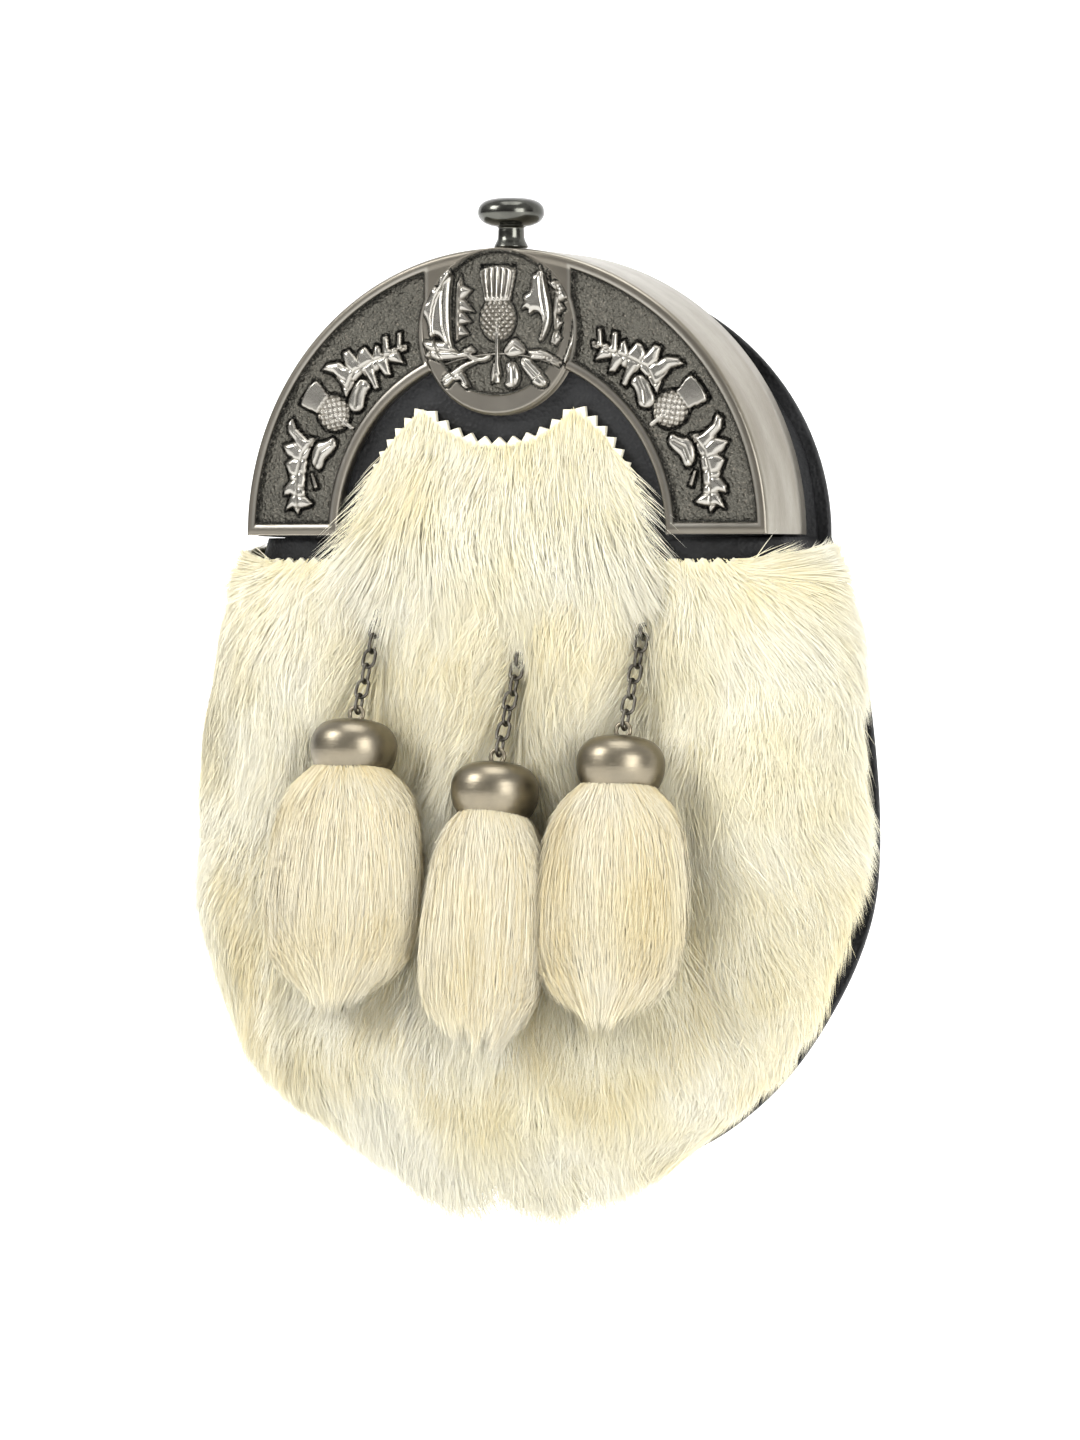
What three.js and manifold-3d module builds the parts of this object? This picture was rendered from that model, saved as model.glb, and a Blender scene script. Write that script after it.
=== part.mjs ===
// A full-dress sporran in millimetres, +Z up, front towards -Y, +X to the wearer's left as seen
// from the front. A cast metal cantle with thistle relief holds the top of a black leather pouch.
// A cream fur pelt covers the pouch's front, and three fur tassels hang on chains over it.
// The origin is where it hangs: the middle of the back, level with the belt loops.
// Inside the root group all heights are measured from the cantle's foot, and all depths from
// the rear face of the back panel.

import * as THREE from 'three';
import { mergeVertices } from 'three/addons/utils/BufferGeometryUtils.js';
import Module from 'manifold-3d';

const wasm = await Module();
wasm.setup();

// Driving dimensions of the cantle
const ARCH_RADIUS = 73.5;
const ARCH_BAND = 27.5;
const ARCH_SEGMENTS = 52;
const FACE_THICKNESS = 3;
const FACE_BEVEL = 0.9;
const RIM_WIDTH = 2.8;
const FOOT_RIM = 3;
const POCKET_DEPTH = 1.2;
const SKIRT_DEPTH = 27.5;
const SKIRT_WALL = 1.8;
const BOW = 3;
const MEDALLION_RADIUS = 21.5;
const MEDALLION_POCKET_RADIUS = 18.4;
const MEDALLION_POCKET_RAISE = 2.2;
const MEDALLION_SEGMENTS = 36;

// Driving dimensions of the knob on top of the arch
const KNOB_HEAD_RADIUS = 8.6;
const KNOB_HEAD_HEIGHT = 7.5;
const KNOB_STALK_RADIUS = 3.4;
const KNOB_STALK_HEIGHT = 5.4;
const KNOB_FLANGE_RADIUS = 4.4;
const KNOB_PIN_RADIUS = 2;
const KNOB_PIN_LENGTH = 5;
const KNOB_SETBACK = 9;
const KNOB_SIDES = 16;

// Driving dimensions of the leather pouch
const LEATHER = 2;
const GUSSET_SHOW = 8;
const GUSSET_TUCK = 9;
const POUCH_HALF_WIDTH = 87;
const POUCH_DROP = 167;
const POUCH_DEPTH = 50;
const BACK_RISE = 66;
const EDGE_PROUD = 3;
const SEAM_COLUMN = 4;
const SEAM_GAP_TURN = 0.004;
const SEAM_SHARE = 0.93;
const POUCH_COLUMNS = 18;
const POUCH_ROWS = 8;

// Driving dimensions of the mouth, its flap and the belt loops on the back
const MOUTH_WIDTH = 88;
const MOUTH_HEIGHT = 24;
const MOUTH_DOWN = 26;
const FLAP_HALF_WIDTH = 54;
const FLAP_TOP_DOWN = 8;
const FLAP_HEIGHT = 66;
const STUD_RADIUS = 5;
const STUD_PROUD = 1.6;
const STUD_UP = 12;
const LOOP_HEIGHT = 18;
const LOOP_SPACING = 96;
const LOOP_WIDTH = 18;
const LOOP_SLOT = 28;
const LOOP_STANDOFF = 6;
const LOOP_FOOT = 8;

// Driving dimensions of the fur pelt
const HIDE = 2;
const FUR_MARGIN = 5.5;
const TOOTH_PITCH = 5;
const TOOTH_DEPTH = 2.4;
const LOCK_WIDTH = 20;
const LOCK_HEIGHT = 9;
const HEM_LOCK_LENGTH = 18;
const HEM_LOCKS = 9;
const HEM_TURN = 0.5;
const HEM_RISE = 0.8;
const FUR_DROP = 160;

// Driving dimensions of the chains, cups and tassels
const LINK_LENGTH = 6;
const LINK_WIDTH = 4.1;
const LINK_WIRE = 0.9;
const LINK_BITE = 0.16;
const LINKS = 6;
const LINK_STEPS = 10;
const WIRE_SIDES = 5;
const EYE_RADIUS = 1.9;
const EYE_WIRE = 1.1;
const EYE_FLANGE_RADIUS = 2.6;
const EYE_FLANGE = 0.8;
const CUP_RADIUS = 11.2;
const CUP_HEIGHT = 14.2;
const CUP_MOUTH_RADIUS = 8.7;
const CUP_WALL = 1.1;
const CUP_SIDES = 12;
const CUP_CLEAR = 1.2;
const TASSEL_LENGTH = 60;
const TASSEL_HALF_WIDTH = 20.5;
const TASSEL_HALF_THICKNESS = 10.5;
const TASSEL_TILT = 10;
const TASSEL_LOCKS = 8;
const TASSEL_CORE = 0.8;
const GAP = 0.3;

// Places that follow from the sizes above
const ARCH_INNER = ARCH_RADIUS - ARCH_BAND;
const REAR_Y = -LEATHER - GUSSET_SHOW;
const FACE_Y = REAR_Y - SKIRT_DEPTH - BOW;
const PANEL_FRONT_Y = FACE_Y + FACE_THICKNESS + GAP;
const MEDALLION_Z = ARCH_RADIUS - MEDALLION_RADIUS;
const INSIDE_SKIRT = ARCH_RADIUS - SKIRT_WALL - GAP;
const EYE_SEAT = EYE_RADIUS + EYE_WIRE * 0.2;
const LINK_PITCH = LINK_LENGTH - 2 * LINK_WIRE + LINK_BITE;

// The leather pouch from the cantle's foot down to its tip. down, half and depth are shares of
// POUCH_DROP, POUCH_HALF_WIDTH and POUCH_DEPTH. square rounds the section: 2 is an ellipse, and a
// higher power is nearer to a box.
const POUCH_SECTIONS = [
  { down: 0.004, half: 0.845, depth: 0.744, square: 8 },
  { down: 0.06, half: 0.885, depth: 0.748, square: 6.5 },
  { down: 0.21, half: 0.955, depth: 0.81, square: 4.6 },
  { down: 0.44, half: 1.0, depth: 0.93, square: 3.6 },
  { down: 0.57, half: 0.985, depth: 0.98, square: 3.4 },
  { down: 0.66, half: 0.93, depth: 1.0, square: 3.2 },
  { down: 0.74, half: 0.85, depth: 1.0, square: 3.0 },
  { down: 0.82, half: 0.745, depth: 0.96, square: 2.9 },
  { down: 0.89, half: 0.615, depth: 0.88, square: 2.8 },
  { down: 0.95, half: 0.45, depth: 0.78, square: 2.7 },
  { down: 0.985, half: 0.27, depth: 0.68, square: 2.6 },
  { down: 1.0, half: 0.075, depth: 0.58, square: 2.5 },
];

// A tassel from the cup's mouth down. down, wide and thick are shares of TASSEL_LENGTH,
// TASSEL_HALF_WIDTH and TASSEL_HALF_THICKNESS. groove is the share of the radius that is left
// between two locks, and rise is how much higher the grooves end, as a share of the length.
const TASSEL_SECTIONS = [
  { down: 0.04, wide: 0.58, thick: 0.92, groove: 1, rise: 0 },
  { down: 0.18, wide: 0.8, thick: 1.0, groove: 0.93, rise: 0 },
  { down: 0.4, wide: 0.97, thick: 1.0, groove: 0.88, rise: 0 },
  { down: 0.64, wide: 1.0, thick: 0.95, groove: 0.84, rise: 0 },
  { down: 0.84, wide: 0.8, thick: 0.75, groove: 0.85, rise: 0.03 },
  { down: 1.0, wide: 0.5, thick: 0.5, groove: 0.8, rise: 0.14 },
];

// The three tassels. across is a share of ARCH_RADIUS, drop is how far the cup's middle hangs below
// the cantle's foot as a share of POUCH_DROP, and width and length are shares of a full tassel.
const TASSELS = [
  { side: 'left', across: -0.43, drop: 0.333, width: 1.0, length: 1.0 },
  { side: 'middle', across: 0.12, drop: 0.395, width: 0.77, length: 1.02 },
  { side: 'right', across: 0.57, drop: 0.353, width: 0.93, length: 1.0 },
];

// Rows of fur locks like shingles, each with a share of LOCK_HEIGHT.
const LOCK_ROWS = [
  { tall: 0.5 }, { tall: 0.6 }, { tall: 0.7 }, { tall: 0.9 }, { tall: 1.1 }, { tall: 0.9 },
];

// The stations along a row of locks. run is a share of the row, lift a share of a lock's height,
// groove the share of it that stays between two locks, and slide how far a lock's point reaches down
// past its neighbours, as a share of the row.
const LOCK_STATIONS = [
  { run: 0, lift: 0, groove: 1, slide: 0 },
  { run: 0.42, lift: 0.8, groove: 0.35, slide: 0 },
  { run: 0.8, lift: 1, groove: 0.3, slide: 0.34 },
];

// Evenly spaced numbers from low to high.
const spread = (low, high, steps) => Array.from(
  { length: steps + 1 }, (_, i) => low + ((high - low) * i) / steps,
);

// Turns a closed geometry into a solid, facing outwards.
function solidOf(geometry) {
  const bare = new THREE.BufferGeometry();
  bare.setAttribute('position', geometry.getAttribute('position').clone());
  if (geometry.index) bare.setIndex(geometry.index.clone());
  const merged = mergeVertices(bare, 1e-4);
  const position = merged.getAttribute('position');
  const indices = [];
  const index = merged.index;
  for (let i = 0; i < index.count; i += 3) {
    const [a, b, c] = [index.getX(i), index.getX(i + 1), index.getX(i + 2)];
    if (a !== b && b !== c && c !== a) indices.push(a, b, c);
  }
  if (signedVolume(position, indices) < 0) {
    for (let i = 0; i < indices.length; i += 3) {
      [indices[i + 1], indices[i + 2]] = [indices[i + 2], indices[i + 1]];
    }
  }
  return new wasm.Manifold(new wasm.Mesh({
    numProp: 3,
    vertProperties: new Float32Array(position.array),
    triVerts: new Uint32Array(indices),
  }));
}

// Six times the signed volume that a list of triangles encloses.
function signedVolume(position, indices) {
  const corners = [new THREE.Vector3(), new THREE.Vector3(), new THREE.Vector3()];
  let sum = 0;
  for (let i = 0; i < indices.length; i += 3) {
    corners.forEach((corner, k) => corner.fromBufferAttribute(position, indices[i + k]));
    sum += corners[0].dot(corners[1].clone().cross(corners[2]));
  }
  return sum;
}

// Turns a solid back into a geometry.
function geometryOf(solid) {
  const mesh = solid.getMesh();
  const geometry = new THREE.BufferGeometry();
  geometry.setAttribute('position', new THREE.BufferAttribute(mesh.vertProperties.slice(), 3));
  geometry.setIndex(new THREE.BufferAttribute(mesh.triVerts.slice(), 1));
  return geometry;
}

function union(solids) {
  return solids.reduce((sum, solid) => sum.add(solid));
}

// A union with the small voids that touching pieces shut in filled up.
function filledUnion(solids) {
  return union(union(solids).decompose().filter((piece) => piece.volume() > 0));
}

// Joins rings of points into one closed body. The ends are capped with a fan, or the last ring may
// be a single point.
function loft(rings) {
  const count = rings[0].length;
  const vertices = rings.flat().flatMap((p) => [p.x, p.y, p.z]);
  const indices = [];
  const pointed = rings[rings.length - 1].length === 1;
  const full = pointed ? rings.length - 1 : rings.length;
  for (let r = 0; r + 1 < full; r += 1) {
    for (let k = 0; k < count; k += 1) {
      const a = r * count + k;
      const b = r * count + ((k + 1) % count);
      indices.push(a, b, b + count, a, b + count, a + count);
    }
  }
  for (let k = 1; k + 1 < count; k += 1) indices.push(0, k + 1, k);
  const last = (full - 1) * count;
  if (pointed) {
    for (let k = 0; k < count; k += 1) indices.push(last + k, last + ((k + 1) % count), full * count);
  } else {
    for (let k = 1; k + 1 < count; k += 1) indices.push(last, last + k, last + k + 1);
  }
  const geometry = new THREE.BufferGeometry();
  geometry.setAttribute('position', new THREE.Float32BufferAttribute(vertices, 3));
  geometry.setIndex(indices);
  return geometry;
}

// A flat outline in X and Z, as thick as asked, with its front face at y.
function plate(points, thickness, y, holes = []) {
  const shape = new THREE.Shape(points.map((p) => new THREE.Vector2(p.x, p.y)));
  shape.holes = holes.map((hole) => new THREE.Path(hole.map((p) => new THREE.Vector2(p.x, p.y))));
  const geometry = new THREE.ExtrudeGeometry(shape, { depth: thickness, bevelEnabled: false });
  return geometry.rotateX(Math.PI / 2).translate(0, y + thickness, 0);
}

// A disc or cylinder along Y between two depths.
function rodAlongY(radius, front, back, x, z, sides) {
  const geometry = new THREE.CylinderGeometry(radius, radius, back - front, sides);
  return geometry.translate(x, (front + back) / 2, z);
}

function boxBetween(low, high) {
  const size = new THREE.Vector3().subVectors(high, low);
  const middle = new THREE.Vector3().addVectors(high, low).multiplyScalar(0.5);
  return new THREE.BoxGeometry(size.x, size.y, size.z).translate(middle.x, middle.y, middle.z);
}

const above = (z) => solidOf(boxBetween(
  new THREE.Vector3(-2 * ARCH_RADIUS, FACE_Y - ARCH_RADIUS, z),
  new THREE.Vector3(2 * ARCH_RADIUS, ARCH_RADIUS, z + 3 * ARCH_RADIUS),
));

// Bends the flat face of the cantle round the wearer: the feet stand back by BOW, and the skirt's
// rear edge stays flat.
function bow(geometry) {
  const position = geometry.getAttribute('position');
  for (let i = 0; i < position.count; i += 1) {
    const share = THREE.MathUtils.clamp((REAR_Y - position.getY(i)) / (REAR_Y - FACE_Y), 0, 1);
    position.setY(i, position.getY(i) + share * bowAt(position.getX(i)));
  }
  return geometry;
}

const bowAt = (x) => BOW * (x / ARCH_RADIUS) ** 2;

// A ring round the arch's axis, from a closed profile of radius and depth.
function archRing(profile) {
  const loop = [...profile, profile[0]].map(([radius, y]) => new THREE.Vector2(radius, y));
  return solidOf(new THREE.LatheGeometry(loop, ARCH_SEGMENTS));
}

// A spiky leaf in relief. spine gives its middle line from 0 to 1 as a point in X and Z.
function leaf(spine, halfWidth, floorY, ridge, steps = 8) {
  const rings = [];
  for (let i = 0; i <= steps; i += 1) {
    const share = i / steps;
    const here = spine(share);
    const ahead = spine(Math.min(share + 0.05, 1.05));
    const along = ahead.clone().sub(here).normalize();
    const side = new THREE.Vector2(-along.y, along.x);
    const spike = i % 2 === 1 ? 1 : 0.5;
    const width = halfWidth * spike * Math.sin(Math.PI * Math.min(0.12 + 0.88 * share, 0.97)) + 0.2;
    const lean = i % 2 === 1 ? 0.5 * halfWidth * spike : 0;
    const at = (offset, y) => {
      const p = here.clone().addScaledVector(side, offset);
      if (offset !== 0) p.addScaledVector(along, lean);
      return new THREE.Vector3(p.x, y, p.y);
    };
    const edgeY = floorY - ridge * 0.35;
    rings.push([
      at(width, floorY + POCKET_DEPTH * 0.5), at(width, edgeY), at(0, floorY - ridge),
      at(-width, edgeY), at(-width, floorY + POCKET_DEPTH * 0.5),
    ]);
  }
  return solidOf(loft(rings));
}

// A thistle in relief: a round bulb, a fluted tuft that widens away from it, and a stem. turn is the
// way the tuft points, from +X towards +Z, and stemLength is a share of size.
function thistle(x, z, turn, size, stemLength, floorY) {
  const sunk = floorY + POCKET_DEPTH * 0.3;
  const bulb = new THREE.SphereGeometry(1, 10, 8).rotateX(Math.PI / 2)
    .scale(size * 0.56, POCKET_DEPTH * 1.7, size * 0.5);
  const flutes = spread(-1, 1, 2).map((lean) => {
    const flute = new THREE.CylinderGeometry(size * 0.16, size * 0.13, size * 0.85, 6)
      .rotateZ(-Math.PI / 2).scale(1, POCKET_DEPTH / size / 0.12, 1);
    return flute.rotateY(-lean * 0.09).translate(size * 0.85, 0, lean * size * 0.26);
  });
  const stem = boxBetween(
    new THREE.Vector3(-size * (0.4 + stemLength), -POCKET_DEPTH * 0.5, -size * 0.09),
    new THREE.Vector3(-size * 0.35, POCKET_DEPTH * 0.5, size * 0.09),
  );
  return union([bulb, ...flutes, stem].map((geometry) => solidOf(
    geometry.rotateY(-turn).translate(x, sunk, z),
  )));
}

// A point on the arch's face, from the angle up from the right foot and the radius.
const onArch = (angle, radius) => new THREE.Vector2(Math.cos(angle) * radius, Math.sin(angle) * radius);

// The cast relief: a thistle between two leaves on each limb, and one with four leaves on the
// medallion.
function relief() {
  const middle = ARCH_INNER + ARCH_BAND * 0.42;
  const floorY = FACE_Y + POCKET_DEPTH;
  const pieces = [];
  for (const side of [0, 1]) {
    const turned = (degrees) => THREE.MathUtils.degToRad(side ? 180 - degrees : degrees);
    const along = (from, to, swing) => (share) => onArch(
      turned(from + (to - from) * share), middle + ARCH_BAND * swing * Math.sin(Math.PI * share),
    );
    const centre = onArch(turned(34), middle);
    pieces.push(thistle(centre.x, centre.y, turned(36), ARCH_BAND * 0.3, 0.3, floorY));
    pieces.push(leaf(along(40, 63, 0.06), ARCH_BAND * 0.25, floorY, POCKET_DEPTH * 1.2));
    pieces.push(leaf(along(28, 6, 0.06), ARCH_BAND * 0.25, floorY, POCKET_DEPTH * 1.2));
    const flip = side ? -1 : 1;
    const frond = (fromX, fromZ, toX, toZ, swing) => (share) => new THREE.Vector2(
      flip * MEDALLION_RADIUS * (fromX + (toX - fromX) * share + swing * Math.sin(Math.PI * share)),
      MEDALLION_Z + MEDALLION_RADIUS * (fromZ + (toZ - fromZ) * share),
    );
    pieces.push(leaf(
      frond(0.42, -0.32, 0.66, 0.8, 0.12), MEDALLION_RADIUS * 0.25, floorY, POCKET_DEPTH * 1.5,
    ));
    pieces.push(leaf(
      frond(0.05, -0.42, 0.72, -0.62, 0), MEDALLION_RADIUS * 0.17, floorY, POCKET_DEPTH, 6,
    ));
  }
  pieces.push(thistle(
    0, MEDALLION_Z + MEDALLION_RADIUS * 0.16, Math.PI / 2, MEDALLION_RADIUS * 0.48, 1.05, floorY,
  ));
  return union(pieces).trimByPlane([0, -1, 0], -floorY - POCKET_DEPTH * 0.4);
}

// The cast cantle: face, rim, medallion, skirt and relief in one piece.
function cantle() {
  const face = archRing([
    [ARCH_INNER, FACE_Y + FACE_BEVEL], [ARCH_INNER + FACE_BEVEL, FACE_Y],
    [ARCH_RADIUS - FACE_BEVEL, FACE_Y], [ARCH_RADIUS, FACE_Y + FACE_BEVEL],
    [ARCH_RADIUS, REAR_Y], [ARCH_RADIUS - SKIRT_WALL, REAR_Y],
    [ARCH_RADIUS - SKIRT_WALL, FACE_Y + FACE_THICKNESS], [ARCH_INNER, FACE_Y + FACE_THICKNESS],
  ]).intersect(above(0));
  const disc = (radius, front, back, raise = 0, sides = MEDALLION_SEGMENTS) => solidOf(
    rodAlongY(radius, front, back, 0, MEDALLION_Z + raise, sides),
  );
  const pocket = archRing([
    [ARCH_INNER + RIM_WIDTH, FACE_Y - 1], [ARCH_RADIUS - RIM_WIDTH, FACE_Y - 1],
    [ARCH_RADIUS - RIM_WIDTH, FACE_Y + POCKET_DEPTH], [ARCH_INNER + RIM_WIDTH, FACE_Y + POCKET_DEPTH],
  ]).intersect(above(FOOT_RIM)).subtract(disc(MEDALLION_RADIUS + 1, FACE_Y - 2, REAR_Y));
  const medallion = disc(MEDALLION_RADIUS, FACE_Y, FACE_Y + FACE_THICKNESS);
  const medallionPocket = disc(
    MEDALLION_POCKET_RADIUS, FACE_Y - 1, FACE_Y + POCKET_DEPTH, MEDALLION_POCKET_RAISE,
  );
  const pinHole = solidOf(new THREE.CylinderGeometry(
    KNOB_PIN_RADIUS + GAP, KNOB_PIN_RADIUS + GAP, 2 * SKIRT_WALL, KNOB_SIDES / 2,
  ).rotateX(Math.PI / 2).translate(0, FACE_Y + KNOB_SETBACK, ARCH_RADIUS - SKIRT_WALL / 2));
  const solid = face.subtract(pocket).add(medallion).subtract(medallionPocket).add(relief())
    .subtract(pinHole);
  return bow(geometryOf(solid));
}

// The knob: a round-edged head on a waisted stalk, with a pin that goes through the skirt.
function knob() {
  const foot = ARCH_RADIUS + GAP;
  const neck = foot + KNOB_STALK_HEIGHT;
  const head = (radius, height) => [KNOB_HEAD_RADIUS * radius, neck + KNOB_HEAD_HEIGHT * height];
  const profile = [
    [0, foot - KNOB_PIN_LENGTH], [KNOB_PIN_RADIUS, foot - KNOB_PIN_LENGTH],
    [KNOB_PIN_RADIUS, foot], [KNOB_FLANGE_RADIUS, foot],
    [KNOB_STALK_RADIUS, foot + KNOB_STALK_HEIGHT * 0.35], [KNOB_STALK_RADIUS, neck],
    head(0.72, 0.06), head(0.95, 0.26), head(1, 0.5), head(0.94, 0.74), head(0.74, 0.93), head(0.3, 1),
    [0, neck + KNOB_HEAD_HEIGHT],
  ].map(([radius, z]) => new THREE.Vector2(radius, z));
  return geometryOf(solidOf(new THREE.LatheGeometry(profile, KNOB_SIDES).rotateX(Math.PI / 2)
    .translate(0, FACE_Y + KNOB_SETBACK, 0)));
}

const sectionCurve = new THREE.CatmullRomCurve3(POUCH_SECTIONS.map((row) => new THREE.Vector3(
  row.half * POUCH_HALF_WIDTH, row.depth * POUCH_DEPTH, -row.down * POUCH_DROP,
)), false, 'centripetal');

// The pouch's section at a share of the way down its curve.
function pouchSection(share) {
  const inside = THREE.MathUtils.clamp(share, 0, 1);
  const p = sectionCurve.getPoint(inside);
  const row = inside * (POUCH_SECTIONS.length - 1);
  const low = Math.min(Math.floor(row), POUCH_SECTIONS.length - 2);
  const square = THREE.MathUtils.lerp(
    POUCH_SECTIONS[low].square, POUCH_SECTIONS[low + 1].square, row - low,
  );
  return { half: p.x, depth: p.y, z: p.z, square };
}

// A point on the pouch's leather. share runs down it, and turn runs from -1 at the left back edge
// through 0 at the middle of the front to 1 at the right back edge.
function pouchPoint(share, turn) {
  const { half, depth, z, square } = pouchSection(share);
  const angle = turn * Math.PI / 2;
  const reach = (Math.abs(Math.sin(angle)) ** square + Math.abs(Math.cos(angle)) ** square)
    ** (-1 / square);
  const back = -LEATHER - GAP;
  const x = half * reach * Math.sin(angle);
  const out = reach * Math.cos(angle);
  return new THREE.Vector3(x, back - (depth + back - bowAt(x)) * out, z);
}

// The outward normal of the pouch's leather.
function pouchNormal(share, turn) {
  const step = 0.01;
  const low = THREE.MathUtils.clamp(share, step, 1 - step);
  const side = THREE.MathUtils.clamp(turn, -0.98, 0.98);
  const down = pouchPoint(low + step, side).sub(pouchPoint(low - step, side));
  const round = pouchPoint(low, side + step).sub(pouchPoint(low, side - step));
  return down.cross(round).normalize();
}

const lifted = (share, turn, lift) => pouchPoint(share, turn)
  .addScaledVector(pouchNormal(share, turn), lift);

// Turns from the left back edge to the right one, evenly spaced along the pouch's middle section.
function evenTurns(columns) {
  const fine = spread(-1, 1, 400);
  const lengths = [0];
  for (let i = 1; i < fine.length; i += 1) {
    const step = pouchPoint(0.45, fine[i]).distanceTo(pouchPoint(0.45, fine[i - 1]));
    lengths.push(lengths[i - 1] + step);
  }
  return spread(0, lengths[400], columns).map((length) => {
    const i = Math.max(1, lengths.findIndex((reached) => reached >= length - 1e-6));
    const share = (length - lengths[i - 1]) / (lengths[i] - lengths[i - 1]);
    return THREE.MathUtils.lerp(fine[i - 1], fine[i], Math.max(share, 0));
  });
}

const COLUMN_TURNS = evenTurns(POUCH_COLUMNS);
const ROW_SHARES = [...spread(0, SEAM_SHARE, POUCH_ROWS), ...spread(SEAM_SHARE, 1, 2).slice(1)];

// The shared stations of a list that lie between two ends, with the ends.
const between = (stations, low, high) => [
  low, ...stations.filter((value) => value > low + 0.012 && value < high - 0.012), high,
];

// A sheet on the pouch. shares are its rows, ends gives the first and last turn of a row, and outer
// gives a point of its outer side from the row's number, the column's number, the share and the turn.
function sheetWith(shares, ends, innerLift, outer) {
  const widest = ends(shares[0]);
  const middle = between(COLUMN_TURNS, ...widest).slice(1, -1);
  return solidOf(bandLoft(shares.map((share, r) => {
    const [low, high] = ends(share);
    const columns = [low, ...middle.map((turn) => THREE.MathUtils.clamp(turn, low, high)), high];
    const inner = columns.map((turn) => lifted(share, turn, innerLift));
    return [...columns.map((turn, c) => outer(r, c, share, turn)), ...inner.reverse()];
  })));
}

// A plain sheet that follows the pouch between two lifts.
const sheet = (shares, ends, innerLift, outerLift) => sheetWith(
  shares, ends, innerLift, (r, c, share, turn) => lifted(share, turn, outerLift),
);

// Joins rings that are thin bands, each an outer line and the inner line back, into a closed body.
function bandLoft(rings) {
  const count = rings[0].length;
  const half = count / 2;
  const geometry = loft(rings);
  const kept = [];
  const index = geometry.index.array;
  const walls = (rings.length - 1) * count * 6;
  for (let i = 0; i < walls; i += 1) kept.push(index[i]);
  for (const [first, flip] of [[0, true], [(rings.length - 1) * count, false]]) {
    for (let k = 0; k + 1 < half; k += 1) {
      const [a, b, c, d] = [first + k, first + k + 1, first + count - 2 - k, first + count - 1 - k];
      if (flip) kept.push(a, c, b, a, d, c);
      else kept.push(a, b, c, a, c, d);
    }
  }
  geometry.setIndex(kept);
  return geometry;
}

// The upper half disc of leather behind the cantle's face, bowed as it is.
function panelTop() {
  const seamX = pouchPoint(0, -COLUMN_TURNS[SEAM_COLUMN]).x;
  const rings = spread(Math.PI, 0, ARCH_SEGMENTS / 2).map((angle) => {
    const top = onArch(angle, INSIDE_SKIRT);
    const low = Math.abs(top.x) < seamX - LEATHER ? -LEATHER * 2 : 0;
    const y = PANEL_FRONT_Y + bowAt(top.x);
    return [
      new THREE.Vector3(top.x, y, low - GAP), new THREE.Vector3(top.x, y, top.y + GAP),
      new THREE.Vector3(top.x, y + LEATHER, top.y + GAP), new THREE.Vector3(top.x, y + LEATHER, low - GAP),
    ];
  });
  return loft(rings);
}

// The leather front: a half disc in the arch, and below it the pouch's front.
function frontPanel() {
  const seamTurn = -COLUMN_TURNS[SEAM_COLUMN] - SEAM_GAP_TURN;
  const lower = sheet(
    between(ROW_SHARES, 0, SEAM_SHARE), () => [-seamTurn, seamTurn], -LEATHER, 0,
  );
  return geometryOf(solidOf(panelTop()).add(lower));
}

// The point of the back's outline at an angle up from the right side.
const backArc = (angle, grow) => new THREE.Vector2(
  Math.cos(angle) * (pouchSection(0).half + grow), Math.sin(angle) * (BACK_RISE + grow),
);

// The leather side wall: a band behind the cantle's skirt, and the pouch's sides and bottom.
function gusset() {
  const rise = spread(-0.06, Math.PI + 0.06, 16);
  const tucked = (angle, inset) => onArch(angle, INSIDE_SKIRT - inset);
  const at = (p, y) => new THREE.Vector3(p.x, y, p.y);
  const rings = rise.map((angle) => [
    at(tucked(angle, 0), REAR_Y - GUSSET_TUCK), at(tucked(angle, 0), REAR_Y + GAP),
    at(backArc(angle, 0), -LEATHER - GAP), at(backArc(angle, -LEATHER), -LEATHER - GAP),
    at(tucked(angle, LEATHER), REAR_Y + GAP), at(tucked(angle, LEATHER), REAR_Y - GUSSET_TUCK),
  ]);
  const top = solidOf(bandLoft(rings));
  const seamTurn = -COLUMN_TURNS[SEAM_COLUMN] + SEAM_GAP_TURN;
  const sides = [[-1, -seamTurn], [seamTurn, 1]].map((ends) => sheet(
    ROW_SHARES, () => ends, -LEATHER, 0,
  ));
  const bottomRows = between(ROW_SHARES, SEAM_SHARE + (2 * GAP) / POUCH_DROP, 1);
  const bottom = sheet(bottomRows, () => [-1, 1], -LEATHER, 0);
  const floorRing = (z) => spread(-1, 1, 8).map((turn) => lifted(1, turn, -LEATHER / 2).setZ(z));
  const lowest = pouchSection(1).z;
  const floor = solidOf(loft([floorRing(lowest + LEATHER), floorRing(lowest)]));
  return geometryOf(union([top, ...sides, bottom, floor]));
}

// The outline of the back panel, or of something that follows it inset by a length.
function backOutline(inset) {
  const sides = spread(0, 1, 16).map((share) => pouchSection(share));
  const right = sides.map((s) => new THREE.Vector2(s.half + EDGE_PROUD - inset, s.z)).reverse();
  const left = sides.map((s) => new THREE.Vector2(-s.half - EDGE_PROUD + inset, s.z));
  const top = spread(0, Math.PI, 20).slice(1, -1).map((angle) => backArc(angle, EDGE_PROUD - inset));
  return [...right, ...top, ...left];
}

// A slot outline with round ends.
function slotOutline(width, height, z) {
  const radius = height / 2;
  const run = width / 2 - radius;
  const end = (side, from) => spread(0, Math.PI, 6).map((turn) => new THREE.Vector2(
    side * run + Math.cos(from + turn) * radius, z + Math.sin(from + turn) * radius,
  ));
  return [...end(1, -Math.PI / 2), ...end(-1, Math.PI / 2)];
}

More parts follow.
